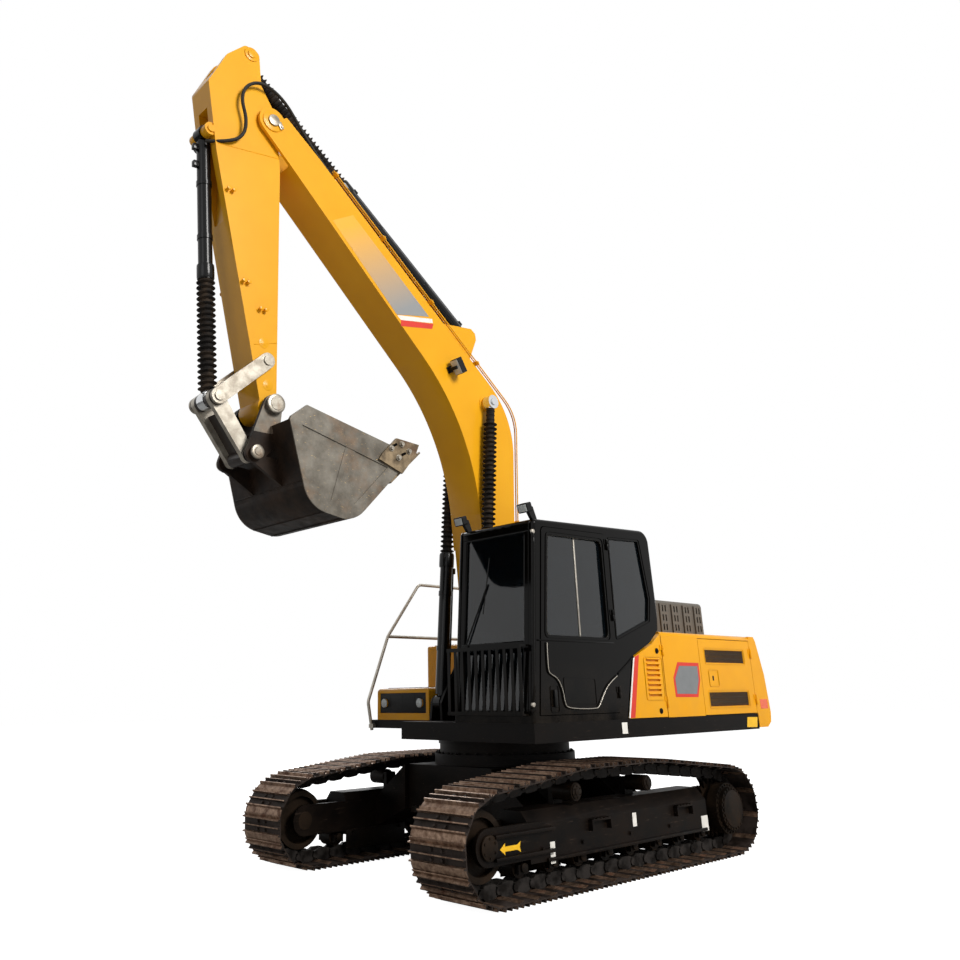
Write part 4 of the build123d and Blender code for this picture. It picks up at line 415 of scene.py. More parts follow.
def lathe(mesh, profile, where, steps=32):
    """Turns a profile of (along, radius) round the X axis of where."""
    line = [mesh.verts.new(Vector((x, 0.0, r))) for x, r in profile]
    edges = [mesh.edges.new(pair) for pair in zip(line, line[1:])]
    bmesh.ops.spin(mesh, geom=line + edges, cent=(0, 0, 0), axis=(1, 0, 0), dvec=(0, 0, 0),
                   angle=2 * math.pi, steps=steps, use_merge=True, use_duplicate=False)
    verts = {v for v in line if v.is_valid}
    grow = list(verts)
    while grow:
        for e in grow.pop().link_edges:
            for v in e.verts:
                if v not in verts:
                    verts.add(v)
                    grow.append(v)
    bmesh.ops.remove_doubles(mesh, verts=list(verts), dist=1e-6)
    verts = [v for v in verts if v.is_valid]
    faces = list({f for v in verts for f in v.link_faces})
    bmesh.ops.recalc_face_normals(mesh, faces=faces)
    bmesh.ops.transform(mesh, matrix=where, verts=verts)


def rim(mesh, outline, y0, y1, width, where=HERE):
    """A flat frame: the outline's edge, width wide, from y0 to y1."""
    corners = [mesh.verts.new(where @ Vector((x, y0, z))) for x, z in outline]
    face = mesh.faces.new(corners)
    ring = bmesh.ops.inset_region(mesh, faces=[face], thickness=width, use_even_offset=True,
                                  use_boundary=True)["faces"]
    bmesh.ops.delete(mesh, geom=[face], context="FACES")
    grown = bmesh.ops.extrude_face_region(mesh, geom=ring)["geom"]
    far = [g for g in grown if isinstance(g, bmesh.types.BMVert)]
    bmesh.ops.translate(mesh, vec=where.to_3x3() @ Vector((0.0, y1 - y0, 0.0)), verts=far)
    bmesh.ops.recalc_face_normals(mesh, faces=mesh.faces[:])


def rounded(outline, r, steps=4):
    """The outline with each corner rounded by an arc of radius r."""
    found = []
    count = len(outline)
    for k in range(count):
        p = Vector(outline[k])
        a = (Vector(outline[k - 1]) - p).normalized()
        b = (Vector(outline[(k + 1) % count]) - p).normalized()
        half = a.angle(b) / 2
        reach = r / math.tan(half)
        start, end = p + a * reach, p + b * reach
        for i in range(steps + 1):
            t = i / steps
            mid = start.lerp(p, t).lerp(p.lerp(end, t), t)
            found.append((mid.x, mid.y))
    return found


def oblong(x0, z0, x1, z1, r):
    """A rectangle with rounded corners."""
    return rounded([(x0, z0), (x1, z0), (x1, z1), (x0, z1)], r)


def shown(name, data, body, slot):
    """Puts the mesh in the scene with smooth faces and on its body; its slot is looked up but not kept."""
    made = bpy.data.objects.new(name, data)
    bpy.context.scene.collection.objects.link(made)
    for polygon in data.polygons:
        polygon.use_smooth = True
    if body:
        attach(made, body)
    slot = slot or SLOTS.get(data.materials[0])
    return made


def piece(name, mesh, body, *materials, slot=None, smooth=35.0):
    """Turns the mesh into an object that rides on a body."""
    data = bpy.data.meshes.new(name)
    mesh.to_mesh(data)
    mesh.free()
    for material in materials:
        data.materials.append(material)
    made = shown(name, data, body, slot)
    data.set_sharp_from_angle(angle=math.radians(smooth))
    return made


def tube(name, routes, r, body, material):
    """Round tube along one or more routes of points, each a smooth curve."""
    curve = bpy.data.curves.new(name, "CURVE")
    curve.dimensions = "3D"
    curve.bevel_depth = r
    curve.bevel_resolution = 4
    curve.use_fill_caps = True
    for points in routes:
        line = curve.splines.new("NURBS")
        line.points.add(len(points) - 1)
        for p, at in zip(line.points, points):
            p.co = (*at, 1.0)
        line.order_u = 3
        line.use_endpoint_u = True
        line.resolution_u = 6
    holder = bpy.data.objects.new(name + "_route", curve)
    bpy.context.scene.collection.objects.link(holder)
    bpy.context.view_layer.update()
    data = bpy.data.meshes.new_from_object(holder)
    bpy.data.objects.remove(holder)
    data.name = name
    data.materials.clear()
    data.materials.append(material)
    return shown(name, data, body, None)


# Finishes of the frame's own nodes

FINISH = (
    (CHASSIS, "car_body frame_legs track_frame_left track_frame_right turntable engine"),
    (WHEEL_STEEL, "swing_ring idlers sprockets track_rollers"),
    (TRACK_RUST, "track_left track_right"),
    (YELLOW, "counterweight hood louvre_door left_rear_door right_rear_door fuel_tank hydraulic_tank "
             "tool_box"),
    (COWL, "engine_cowl"),
    (GALVANISED, "handrail"),
    (CAB_BLACK, "cab_floor cab_roof cab_front_frame cab_rear_wall cab_left_frame cab_right_wall cab_door "
                "front_guard"),
    (GLASS, "door_glass cab_glass"),
    (FABRIC, "operator_seat"),
    (BLACK_PLASTIC, "roof_lamps boom_lamp"),
    (ARM_YELLOW, "boom stick boom_pipes"),
    (CYLINDER, "boom_barrels stick_barrel bucket_barrel"),
    (CHROME, "boom_rods stick_rod bucket_rod"),
    (RUBBER, "boom_bellows stick_bellows bucket_bellows"),
    (BARE, "rocker"),
    (LINK_STEEL, "bucket_link"),
    (BUCKET_STEEL, "bucket"),
    (TOOTH_STEEL, "bucket_teeth"),
)
for finish, names in FINISH:
    for node_name in names.split():
        taken = nodes[node_name].data.materials
        taken.clear()
        taken.append(finish)

# Welded and pressed steel edges are never knife sharp: a small live bevel catches the light
SOFT_EDGES = (
    (0.012, "counterweight"),
    (0.010, "cab_roof"),
    (0.008, "fuel_tank hydraulic_tank tool_box boom cab_left_frame cab_front_frame cab_right_wall"),
    (0.007, "stick"),
    (0.006, "hood louvre_door left_rear_door right_rear_door cab_door turntable track_frame_left "
            "track_frame_right"),
    (0.004, "bucket rocker bucket_link"),
)
for width, names in SOFT_EDGES:
    for node_name in names.split():
        weld = nodes[node_name].modifiers.new("weld", "WELD")
        weld.merge_threshold = 0.0001
        soft = nodes[node_name].modifiers.new("soft edges", "BEVEL")
        soft.width = width
        soft.segments = 2
        soft.limit_method = "ANGLE"
        soft.angle_limit = math.radians(42)
        soft.harden_normals = False


# Tracks: shoes with three grousers each, on two rows of links

GAUGE_HALF = 1.19
SHOE_COUNT = 46
LINK_HALF = 0.0525
IDLER_X, IDLER_Z = 1.655, 0.3995
SPROCKET_X, SPROCKET_Z = -1.7, 0.393
CARRIER_XS, CARRIER_Z = (0.566, -0.445), 0.7
WHEELS = ((IDLER_X, IDLER_Z, 0.311), *((x, CARRIER_Z, 0.1225) for x in CARRIER_XS),
          (SPROCKET_X, SPROCKET_Z, 0.3045))


def chain_pins():
    """The chain's pins, evenly spaced round idler, carrier rollers and sprocket."""
    runs = []
    leave = []
    for i, (x, z, r) in enumerate(WHEELS):
        x2, z2, r2 = WHEELS[(i + 1) % len(WHEELS)]
        length, angle = math.hypot(x2 - x, z2 - z), math.atan2(z2 - z, x2 - x)
        leave.append(angle - math.pi / 2 + math.asin((r - r2) / length))
    for i, (x, z, r) in enumerate(WHEELS):
        turn = (leave[i] - leave[i - 1]) % (2 * math.pi)
        runs.append((r * turn, x, z, r, leave[i - 1], None))
        x2, z2, r2 = WHEELS[(i + 1) % len(WHEELS)]
        c, s = math.cos(leave[i]), math.sin(leave[i])
        a, b = Vector((x + r * c, z + r * s)), Vector((x2 + r2 * c, z2 + r2 * s))
        runs.append(((b - a).length, a, b, None, None, None))
    total = sum(run[0] for run in runs)
    pins = []
    for k in range(SHOE_COUNT):
        s = total * k / SHOE_COUNT
        for length, p, q, r, a0, _ in runs:
            if s <= length:
                if r is None:
                    pins.append(p.lerp(q, s / length))
                else:
                    pins.append(Vector((p + r * math.cos(a0 + s / r), q + r * math.sin(a0 + s / r))))
                break
            s -= length
    return pins


PINS = chain_pins()
PITCH = (PINS[1] - PINS[0]).length


def shoe_profile():
    """Section of a shoe: plate, three tapered grousers, and lip and tongue that overlap its neighbours."""
    low = LINK_HALF + 0.002
    base = LINK_HALF + 0.011
    tip = LINK_HALF + 0.0355
    half = PITCH / 2
    return [(-half + 0.004, low), (half - 0.012, low), (half + 0.006, low + 0.010),
            (half + 0.004, base + 0.008), (half - 0.016, base + 0.002),
            (0.072, base), (0.0675, tip), (0.0575, tip), (0.052, base), (0.008, base), (0.0048, tip),
            (-0.0048, tip), (-0.008, base), (-0.052, base), (-0.0575, tip), (-0.0675, tip),
            (-0.072, base), (-half + 0.004, base), (-half - 0.040, low - 0.010),
            (-half - 0.043, low - 0.015)]


# Outline of a link of the chain
LINK = [(-0.045, 0.05), (0.045, 0.05), (0.07, 0.03), (0.115, 0.03), (0.125, 0.0), (0.115, -0.03),
        (0.07, -0.035), (0.045, -0.05), (-0.045, -0.05), (-0.07, -0.045), (-0.09, -0.02), (-0.09, 0.02),
        (-0.07, 0.04)]


def shoes_and_chain(side, label):
    shoes, chain = bmesh.new(), bmesh.new()
    y = side * GAUGE_HALF
    tip = LINK_HALF + 0.034
    for k in range(SHOE_COUNT):
        a, b = PINS[k], PINS[(k + 1) % SHOE_COUNT]
        mid = (a + b) / 2
        turn = Matrix.Rotation(-math.atan2(b.y - a.y, b.x - a.x), 4, "Y")
        where = Matrix.Translation(spot(mid.x, y, mid.y)) @ turn @ Matrix.Scale(-1, 4, (0, 0, 1))
        slab(shoes, shoe_profile(), -0.3, 0.3, where)
        for u in (-0.032, 0.032):
            for v in (-0.06, 0.06):
                bolt(shoes, (u, v, LINK_HALF + 0.011), (0, 0, 1), 0.013, where)
        for v in (-0.0575, 0.0575):
            slab(chain, LINK, v - 0.018, v + 0.018, where)
        bar(chain, (PITCH / 2, -0.083, 0), (PITCH / 2, 0.083, 0), 0.026, 14, where=where)
    for face in shoes.faces:
        centre = face.calc_center_median()
        at = Vector((centre.x - SWING_X, centre.z))
        away = min((at - (a + b) / 2).length for a, b in zip(PINS, PINS[1:] + PINS[:1]))
        worn = away > tip and face.calc_area() > 0.001 and abs(centre.y - y) < 0.29
        face.material_index = 1 if worn else 0
    bmesh.ops.recalc_face_normals(shoes, faces=shoes.faces[:])
    bmesh.ops.recalc_face_normals(chain, faces=chain.faces[:])
    made = piece("track_shoes_" + label, shoes, "undercarriage", TRACK_RUST, TRACK_WORN, smooth=25)
    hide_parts("track_" + label)
    piece("track_chain_" + label, chain, "undercarriage", CHAIN_STEEL)


for side, label in ((1, "left"), (-1, "right")):
    shoes_and_chain(side, label)

# Wheels: covers, bolt rings and the end caps of the bottom rollers
covers = bmesh.new()
for side in (1, -1):
    y = side * GAUGE_HALF
    out = (0, side, 0)
    face = y + side * 0.235
    disc(covers, SPROCKET_X, face - side * 0.004, SPROCKET_Z, side * 0.016, 0.165, 40, 0.004)
    bolt_ring(covers, (SPROCKET_X, face, SPROCKET_Z), out, 0.178, 24, 0.0085)
    bolt_ring(covers, (SPROCKET_X, y + side * 0.195, SPROCKET_Z), out, 0.209, 28, 0.009)
    face = y + side * 0.15
    for x in CARRIER_XS:
        disc(covers, x, face, CARRIER_Z, side * 0.012, 0.058, 28, 0.004)
        disc(covers, x, face + side * 0.012, CARRIER_Z, side * 0.008, 0.03, 20, 0.003)
        bolt_ring(covers, (x, face + side * 0.012, CARRIER_Z), out, 0.043, 6, 0.006)
    disc(covers, IDLER_X, y + side * 0.172, IDLER_Z, side * 0.02, 0.088, 32, 0.005)
    bolt_ring(covers, (IDLER_X, y + side * 0.190, IDLER_Z), out, 0.065, 6, 0.009)
    for k in range(8):
        for s in (-1, 1):
            disc(covers, 1.23 - 0.36 * k, y + s * 0.125, 0.219, s * 0.016, 0.034, 16, 0.003)
piece("wheel_covers", covers, "undercarriage", WHEEL_STEEL)

# Side frames: guide ribs at the idler, steps, flange strips, roller guards, labels and the direction arrow
fittings, labels, arrow = bmesh.new(), bmesh.new(), bmesh.new()
for side in (1, -1):
    y = side * (GAUGE_HALF + 0.17)
    for z in (0.30, 0.455):
        block(fittings, (0.92, y - side * 0.01, z), (1.60, y + side * 0.035, z + 0.026), soft=0.004)
    block(fittings, (-1.30, y - side * 0.01, 0.238), (1.0, y + side * 0.02, 0.262), soft=0.003)
    inner, outer = y - side * 0.05, y + side * 0.045
    for x in (0.33, -0.92):
        block(fittings, (x - 0.13, inner, 0.47), (x + 0.13, outer, 0.485), soft=0.003)
        for end in (-0.13, 0.12):
            block(fittings, (x + end, inner, 0.40), (x + end + 0.01, outer, 0.485), soft=0.002)
        for k in range(5):
            tread = x - 0.112 + 0.05 * k
            block(fittings, (tread, inner, 0.484), (tread + 0.024, outer, 0.492), soft=0.002)
    for x in (1.05, 0.55, -0.1, -0.7):
        bolt(fittings, (x, y, 0.33), (0, side, 0), 0.014)
    for x, z, w, h in ((0.927, 0.293, 0.029, 0.076), (-0.182, 0.428, 0.028, 0.0535),
                       (-1.288, 0.298, 0.055, 0.065)):
        block(labels, (x - w, y, z - h), (x + w, y + side * 0.0012, z + h))
    shape = [(1.53, 0.375), (1.475, 0.415), (1.475, 0.392), (1.34, 0.392), (1.30, 0.412), (1.31, 0.375),
             (1.30, 0.338), (1.34, 0.358), (1.475, 0.358), (1.475, 0.335)]
    slab(arrow, shape, y + side * 0.0005, y + side * 0.0017)
    inner, outer = side * (GAUGE_HALF - 0.178), side * (GAUGE_HALF - 0.1695)
    for x0, x1 in ((-1.28, -0.48), (-0.44, 0.40), (0.44, 1.18)):
        block(fittings, (x0, inner, 0.115), (x1, outer, 0.275), soft=0.003)
        for x in (x0 + 0.08, x1 - 0.08):
            bolt(fittings, (x, inner, 0.257), (0, -side, 0), 0.012)
piece("frame_fittings", fittings, "undercarriage", CHASSIS)
piece("frame_labels", labels, "undercarriage", WHITE_FILM)
piece("direction_arrows", arrow, "undercarriage", ARROW_FILM)

# Swing ring's bolts and seal, and the travel motors' hoses
ring = bmesh.new()
for k in range(36):
    a = 2 * math.pi * k / 36
    bolt(ring, (0.665 * math.cos(a), 0.665 * math.sin(a), 0.945), (0, 0, 1), 0.013)
lathe(ring, [(0.0, 0.64), (0.0, 0.652), (0.03, 0.652), (0.03, 0.64)],
      HERE @ moved(0, 0, 1.03) @ turned(-90, "Y"), 64)
piece("ring_bolts", ring, "undercarriage", WHEEL_STEEL)
hose_runs = []
for side in (1, -1):
    for k in range(3):
        shift = 0.05 * k
        hose_runs.append([spot(x, side * y, z) for x, y, z in (
            (-0.70, 0.20 + shift, 0.80), (-0.95, 0.25 + shift, 0.78), (-1.15, 0.55 + shift, 0.62),
            (-1.35, 0.80 + shift / 2, 0.50), (-1.60, 0.93, 0.42 + shift), (-1.68, 0.99, 0.40 + shift))])
tube("motor_hoses", hose_runs, 0.016, "undercarriage", HOSE)


# Upper body

def film(name, outline, y, body, material, where=HERE, slot=None):
    """A thin printed film on a face at y, on the left side."""
    mesh = bmesh.new()
    slab(mesh, outline, y + 0.0004, y + 0.0016, where)
    piece(name, mesh, body, material, slot=slot)


film("stripe_white", [(-0.407, 1.782), (-0.385, 1.782), (-0.237, 1.25), (-0.259, 1.25)], SIDE_Y,
     "louvre_door", WHITE_FILM, slot="panel_yellow")
film("stripe_red", [(-0.481, 1.806), (-0.409, 1.784), (-0.261, 1.25), (-0.333, 1.25)], SIDE_Y,
     "louvre_door", RED_FILM)
film("deck_plate_yellow", [(-2.524, 1.103), (-2.316, 1.110), (-2.344, 1.207), (-2.553, 1.202)], CAB_Y,
     "upper", ARROW_FILM)
film("deck_label", [(-0.21, 1.12), (-0.13, 1.12), (-0.13, 1.215), (-0.21, 1.215)], CAB_Y, "upper",
     WHITE_FILM)

# Blank badge on the middle panel: a grey plate in a red frame
badge = bmesh.new()
slab(badge, [(-1.02, 1.60), (-1.12, 1.745), (-1.50, 1.742), (-1.50, 1.58), (-1.43, 1.415), (-1.03, 1.42)],
     SIDE_Y + 0.0004, SIDE_Y + 0.0014)
piece("badge_frame", badge, "upper", RED_FILM)
badge = bmesh.new()
slab(badge, [(-1.05, 1.59), (-1.14, 1.71), (-1.47, 1.71), (-1.47, 1.58), (-1.41, 1.445), (-1.06, 1.45)],
     SIDE_Y + 0.0014, SIDE_Y + 0.0024)
piece("badge_field", badge, "upper", GREY_FILM)

# Side doors: pressed louvre hoods and locks, grilles with their frames, latch in its recess
louvres = bmesh.new()
for k in range(8):
    z = 1.43 + 0.045 * k
    block(louvres, (-0.80, SIDE_Y - 0.004, z + 0.018), (-0.585, SIDE_Y + 0.012, z + 0.030), soft=0.004,
          turn=turned(24, "X"))
rim(louvres, oblong(-0.845, 1.395, -0.545, 1.785, 0.03), SIDE_Y - 0.001, SIDE_Y + 0.005, 0.012)
piece("louvre_hoods", louvres, "louvre_door", YELLOW)
locks = bmesh.new()
for x, z in ((-0.78, 1.845), (-0.755, 1.30)):
    disc(locks, x, SIDE_Y, z, 0.008, 0.026, 20, 0.003)
    disc(locks, x, SIDE_Y + 0.008, z, 0.005, 0.013, 16, 0.002)
piece("louvre_door_locks", locks, "louvre_door", GASKET)
GRILLE_X0, GRILLE_X1, GRILLE_ZS = -2.405, -1.65, ((1.320, 1.460), (1.745, 1.875))
for side, label in ((1, "left"), (-1, "right")):
    grille = bmesh.new()
    inner, outer = side * (SIDE_Y - 0.015), side * (SIDE_Y - 0.007)
    for z0, z1 in GRILLE_ZS:
        for k in range(39):
            x = GRILLE_X0 + (GRILLE_X1 - GRILLE_X0) * k / 38
            block(grille, (x - 0.003, inner, z0 + 0.004), (x + 0.003, outer, z1 - 0.004))
        for z in (z0 + 0.045, z0 + 0.09):
            block(grille, (GRILLE_X0, inner, z - 0.002), (GRILLE_X1, outer, z + 0.002))
    piece("door_grilles_" + label, grille, label + "_rear_door", GRILLE_MESH)
    trim = bmesh.new()
    face = side * SIDE_Y
    for z0, z1 in GRILLE_ZS:
        rim(trim, oblong(GRILLE_X0 - 0.02, z0 - 0.015, GRILLE_X1 + 0.02, z1 + 0.015, 0.02), face,
            face + side * 0.004, 0.014)
    rim(trim, oblong(-1.85, 1.515, -1.67, 1.675, 0.018), face, face + side * 0.005, 0.012)
    piece("door_trim_" + label, trim, label + "_rear_door", YELLOW)
    latch = bmesh.new()
    block(latch, (-1.762, face, 1.572), (-1.738, face + side * 0.002, 1.618))
    piece("door_latch_" + label, latch, label + "_rear_door", BLACK_PLASTIC)

# Engine cowl: painted shade, a thin black sheet behind each rib's slot holes that stands in for the dark,
# shadowed inside
slot_shade = bmesh.new()
# Painted shade: each thin black block stands in for the shadow seen through a slot hole
for k in range(4):
    x = -1.655 - 0.225 * k
    for side, y in ((1, 0.90), (-1, -0.52)):
        for row in range(3):
            for column in (-0.027, 0.027):
                z = 2.130 + 0.098 * row
                block(slot_shade, (x + column - 0.0118, y + side * 0.0102, z - 0.0328),
                      (x + column + 0.0118, y + side * 0.0112, z + 0.0328))
piece("cowl_slot_shade", slot_shade, "engine_cowl", PAINTED_SHADE_BLACK)

# Counterweight: reflectors and the rings of its lifting holes
marks = bmesh.new()
for side in (1, -1):
    block(marks, (-2.80, side * 1.3604, 1.285), (-2.64, side * 1.3624, 1.38))
piece("reflectors", marks, "upper", REFLECTOR)
plugs = bmesh.new()
for y in (-0.65, 0.65):
    lathe(plugs, [(0.0, 0.0185), (0.004, 0.0185), (0.006, 0.034), (0.0, 0.036)],
          HERE @ moved(-2.69, y, 2.03) @ turned(-90, "Y"), 24)
piece("lifting_hole_rings", plugs, "upper", CHASSIS)

# Tool box: black sunk panel with two round lamps, toward the front
panel = bmesh.new()
block(panel, (0.6082, -1.1985, 1.3065), (0.6118, -0.4765, 1.4985), soft=0.0015)
for y in (-0.65, -0.84, -1.03):
    block(panel, (0.6118, y - 0.002, 1.32), (0.6128, y + 0.002, 1.485))
piece("tool_box_panel", panel, "upper", BLACK_PLASTIC)
lights = bmesh.new()
for y in (-1.116, -0.559):
    lathe(lights, [(0.0, 0.0), (0.0, 0.043), (0.008, 0.043), (0.010, 0.038), (0.014, 0.028),
                   (0.0155, 0.012), (0.016, 0.0)], HERE @ moved(0.6251, y, 1.4025), 28)
    for a in range(6):
        turn = a * math.pi / 3
        bolt(lights, (0.6351, y + 0.033 * math.cos(turn), 1.4025 + 0.033 * math.sin(turn)), (1, 0, 0),
             0.004)
piece("deck_lamps", lights, "upper", LENS)

# Tanks and tool box: filler caps and anti-slip treads
caps = bmesh.new()
for x in (-0.37, -0.83):
    bar(caps, (x, -0.70, 2.0), (x, -0.70, 2.035), 0.075, 28, soft=0.006)
    bar(caps, (x, -0.70, 2.035), (x, -0.70, 2.06), 0.055, 12, soft=0.004)
piece("filler_caps", caps, "upper", BLACK_PLASTIC)
treads = bmesh.new()
for k in range(6):
    y = -1.25 + 0.085 * k
    block(treads, (-1.03, y - 0.02, 2.0), (-0.64, y + 0.02, 2.007), soft=0.002)
    block(treads, (-0.50, y - 0.02, 2.0), (-0.24, y + 0.02, 2.007), soft=0.002)
for k in range(8):
    y = -1.16 + 0.085 * k
    block(treads, (-0.10, y - 0.02, 1.545), (0.52, y + 0.02, 1.552), soft=0.002)
piece("anti_slip_treads", treads, "upper", CHASSIS)


# Cab: window seals, and the bright bead and bar of the door's window

seals = bmesh.new()
rim(seals, rounded([(-0.055, 1.92), (0.872, 1.92), (0.778, 2.845), (-0.055, 2.86)], 0.055), CAB_Y + 0.008,
    CAB_Y + 0.015, 0.024)
piece("door_window_seal", seals, "cab_door", GASKET)
bright = bmesh.new()
block(bright, (0.345, CAB_Y - 0.028, 1.93), (0.363, CAB_Y - 0.012, 2.83), soft=0.003)
rim(bright, rounded([(-0.028, 1.947), (0.843, 1.947), (0.752, 2.818), (-0.028, 2.833)], 0.045),
    CAB_Y + 0.006, CAB_Y + 0.011, 0.007)
piece("door_window_bead", bright, "cab_door", GALVANISED)
seals = bmesh.new()
rim(seals, rounded([(-0.155, 1.925), (-0.155, 2.89), (-0.668, 2.912), (-0.765, 2.33), (-0.72, 2.115)],
                   0.03), CAB_Y, CAB_Y + 0.006, 0.022)
piece("quarter_window_seal", seals, "upper", GASKET)

# Door: raised lip of its lower half with a painted glint along its edge (a thin bright metal tube), belt
# line, and frames of the two recesses
lip = [(0.862, 1.88), (0.872, 1.66), (0.84, 1.625), (0.747, 1.593), (0.690, 1.50), (0.672, 1.385),
       (0.63, 1.348), (0.25, 1.337), (0.20, 1.36), (0.107, 1.482), (0.024, 1.555), (-0.095, 1.612)]
tube("door_lip", [[spot(x, CAB_Y + 0.012, z) for x, z in lip]], 0.011, "cab_door", CAB_BLACK)
# Painted highlight: a thin bright tube along the black lip stands in for the glint on its edge
tube("door_lip_painted_glint", [[spot(x, CAB_Y + 0.0225, z) for x, z in lip]], 0.0035, "cab_door", GALVANISED)
side_lip = ((-0.135, 1.632), (-0.26, 1.700), (-0.395, 1.785))
tube("cab_side_lip", [[spot(x, CAB_Y + 0.003, z) for x, z in side_lip]], 0.009, "upper", CAB_BLACK)
frame_line = bmesh.new()
block(frame_line, (-0.10, CAB_Y + 0.007, 1.893), (0.96, CAB_Y + 0.013, 1.905), soft=0.002)
rim(frame_line, rounded([(0.225, 1.375), (0.655, 1.385), (0.66, 1.60), (0.225, 1.585)], 0.02),
    CAB_Y + 0.008, CAB_Y + 0.013, 0.009)
rim(frame_line, oblong(0.74, 1.32, 0.845, 1.53, 0.02), CAB_Y + 0.008, CAB_Y + 0.014, 0.012)
piece("door_frames", frame_line, "cab_door", CAB_BLACK)
handle = bmesh.new()
block(handle, (0.775, CAB_Y + 0.012, 1.36), (0.81, CAB_Y + 0.034, 1.50), soft=0.008)
piece("door_handle", handle, "cab_door", BLACK_PLASTIC)

# Hand rail on the cab's front corner, with its brackets
rail = ((1.062, -0.02, 1.36), (1.082, 0.035, 1.42), (1.078, 0.04, 1.60), (1.045, 0.04, 2.1),
        (0.99, 0.04, 2.66), (0.975, 0.035, 2.80), (0.945, -0.02, 2.84))
tube("cab_corner_rail", [[spot(x, CAB_Y + y, z) for x, y, z in rail]], 0.013, "upper", CAB_BLACK)
knobs = bmesh.new()
for x, z in ((1.071, 1.385), (0.956, 2.825)):
    disc(knobs, x, CAB_Y, z, 0.022, 0.020, 20, 0.004)
piece("rail_end_knobs", knobs, "upper", GALVANISED)

# Wiper, then inside the cab: seat, consoles with levers, travel pedals, display and shelf
wiper = bmesh.new()
bar(wiper, (1.01, 0.52, 1.875), (0.955, 0.78, 2.42), 0.008, 10)
bar(wiper, (0.965, 0.72, 2.16), (0.925, 0.79, 2.66), 0.007, 10)
block(wiper, (0.985, 0.49, 1.845), (1.03, 0.56, 1.895), soft=0.006)
piece("wiper", wiper, "upper", BLACK_PLASTIC)


def cushion(name, low, high, crown, turn=None):
    """A crowned seat cushion: a block drawn in at its edges and smoothed."""
    mesh = bmesh.new()
    block(mesh, low, high, Matrix.Identity(4))
    bmesh.ops.subdivide_edges(mesh, edges=mesh.edges[:], cuts=7, use_grid_fill=True)
    centre = (Vector(low) + Vector(high)) / 2
    half = (Vector(high) - Vector(low)) / 2
    for v in mesh.verts:
        d = v.co - centre
        share = [abs(d[i]) / half[i] for i in range(3)]
        round_off = 1 - 0.10 * max(0.0, sum(s ** 4 for s in share) - 1.0)
        swell = 1 + crown * (1 - share[0] ** 2) * (1 - share[1] ** 2)
        v.co = centre + Vector((d.x * round_off, d.y * round_off, d.z * round_off * swell))
        seam = math.exp(-((abs(d.y) - half.y * 0.55) / 0.012) ** 2)
        v.co.z -= 0.006 * seam * (1 if d.z > 0 else 0)
    bmesh.ops.transform(mesh, matrix=HERE @ (turn or Matrix.Identity(4)), verts=mesh.verts[:])
    made = piece(name, mesh, "upper", FABRIC, smooth=180)
    smooth = made.modifiers.new("smooth", "SUBSURF")
    smooth.levels = 1
    smooth.render_levels = 1
    return made


pad = cushion("seat_cushion", (-0.05, SEAT_Y - 0.245, 1.575), (0.43, SEAT_Y + 0.245, 1.695), 0.18)
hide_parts("operator_seat")
lean = moved(-0.02, 0, 1.72) @ turned(-80, "Y") @ moved(0.02, 0, -1.72)
cushion("seat_back", (0.0, SEAT_Y - 0.23, 1.70), (0.62, SEAT_Y + 0.23, 1.81), 0.2, lean)
cushion("head_rest", (0.64, SEAT_Y - 0.13, 1.71), (0.80, SEAT_Y + 0.13, 1.79), 0.3, lean)
base = bmesh.new()
block(base, (0.02, SEAT_Y - 0.18, 1.295), (0.36, SEAT_Y + 0.18, 1.42), soft=0.02)
block(base, (0.04, SEAT_Y - 0.15, 1.42), (0.34, SEAT_Y + 0.15, 1.575), soft=0.03)
for side in (-1, 1):
    inner, outer = SEAT_Y + side * 0.252, SEAT_Y + side * 0.345
    block(base, (0.01, inner, 1.60), (0.45, outer, 1.80), soft=0.025)
    block(base, (-0.02, inner, 1.80), (0.28, outer, 1.845), soft=0.018)
    y = (inner + outer) / 2
    bar(base, (0.38, y, 1.80), (0.41, y, 1.95), 0.013, 12)
    bar(base, (0.41, y, 1.94), (0.415, y, 2.03), 0.022, 16, 0.028, soft=0.008)
for side in (-1, 1):
    y = SEAT_Y + side * 0.10
    bar(base, (0.78, y, 1.30), (0.70, y, 1.72), 0.012, 12)
    bar(base, (0.70, y, 1.71), (0.695, y, 1.79), 0.018, 14, soft=0.006)
    block(base, (0.70, y - 0.05, 1.315), (0.90, y + 0.05, 1.335), soft=0.004)
block(base, (0.66, 0.47, 1.62), (0.80, 0.60, 2.02), soft=0.02)
piece("cab_controls", base, "upper", BLACK_PLASTIC)
lining = bmesh.new()
block(lining, (-0.30, 0.46, 1.80), (-0.20, 1.28, 2.10), soft=0.03)
block(lining, (-0.75, 0.46, 2.06), (-0.20, 1.28, 2.10), soft=0.01)
piece("cab_shelf", lining, "upper", BLACK_PLASTIC)


# Boom: bosses and pin caps, films

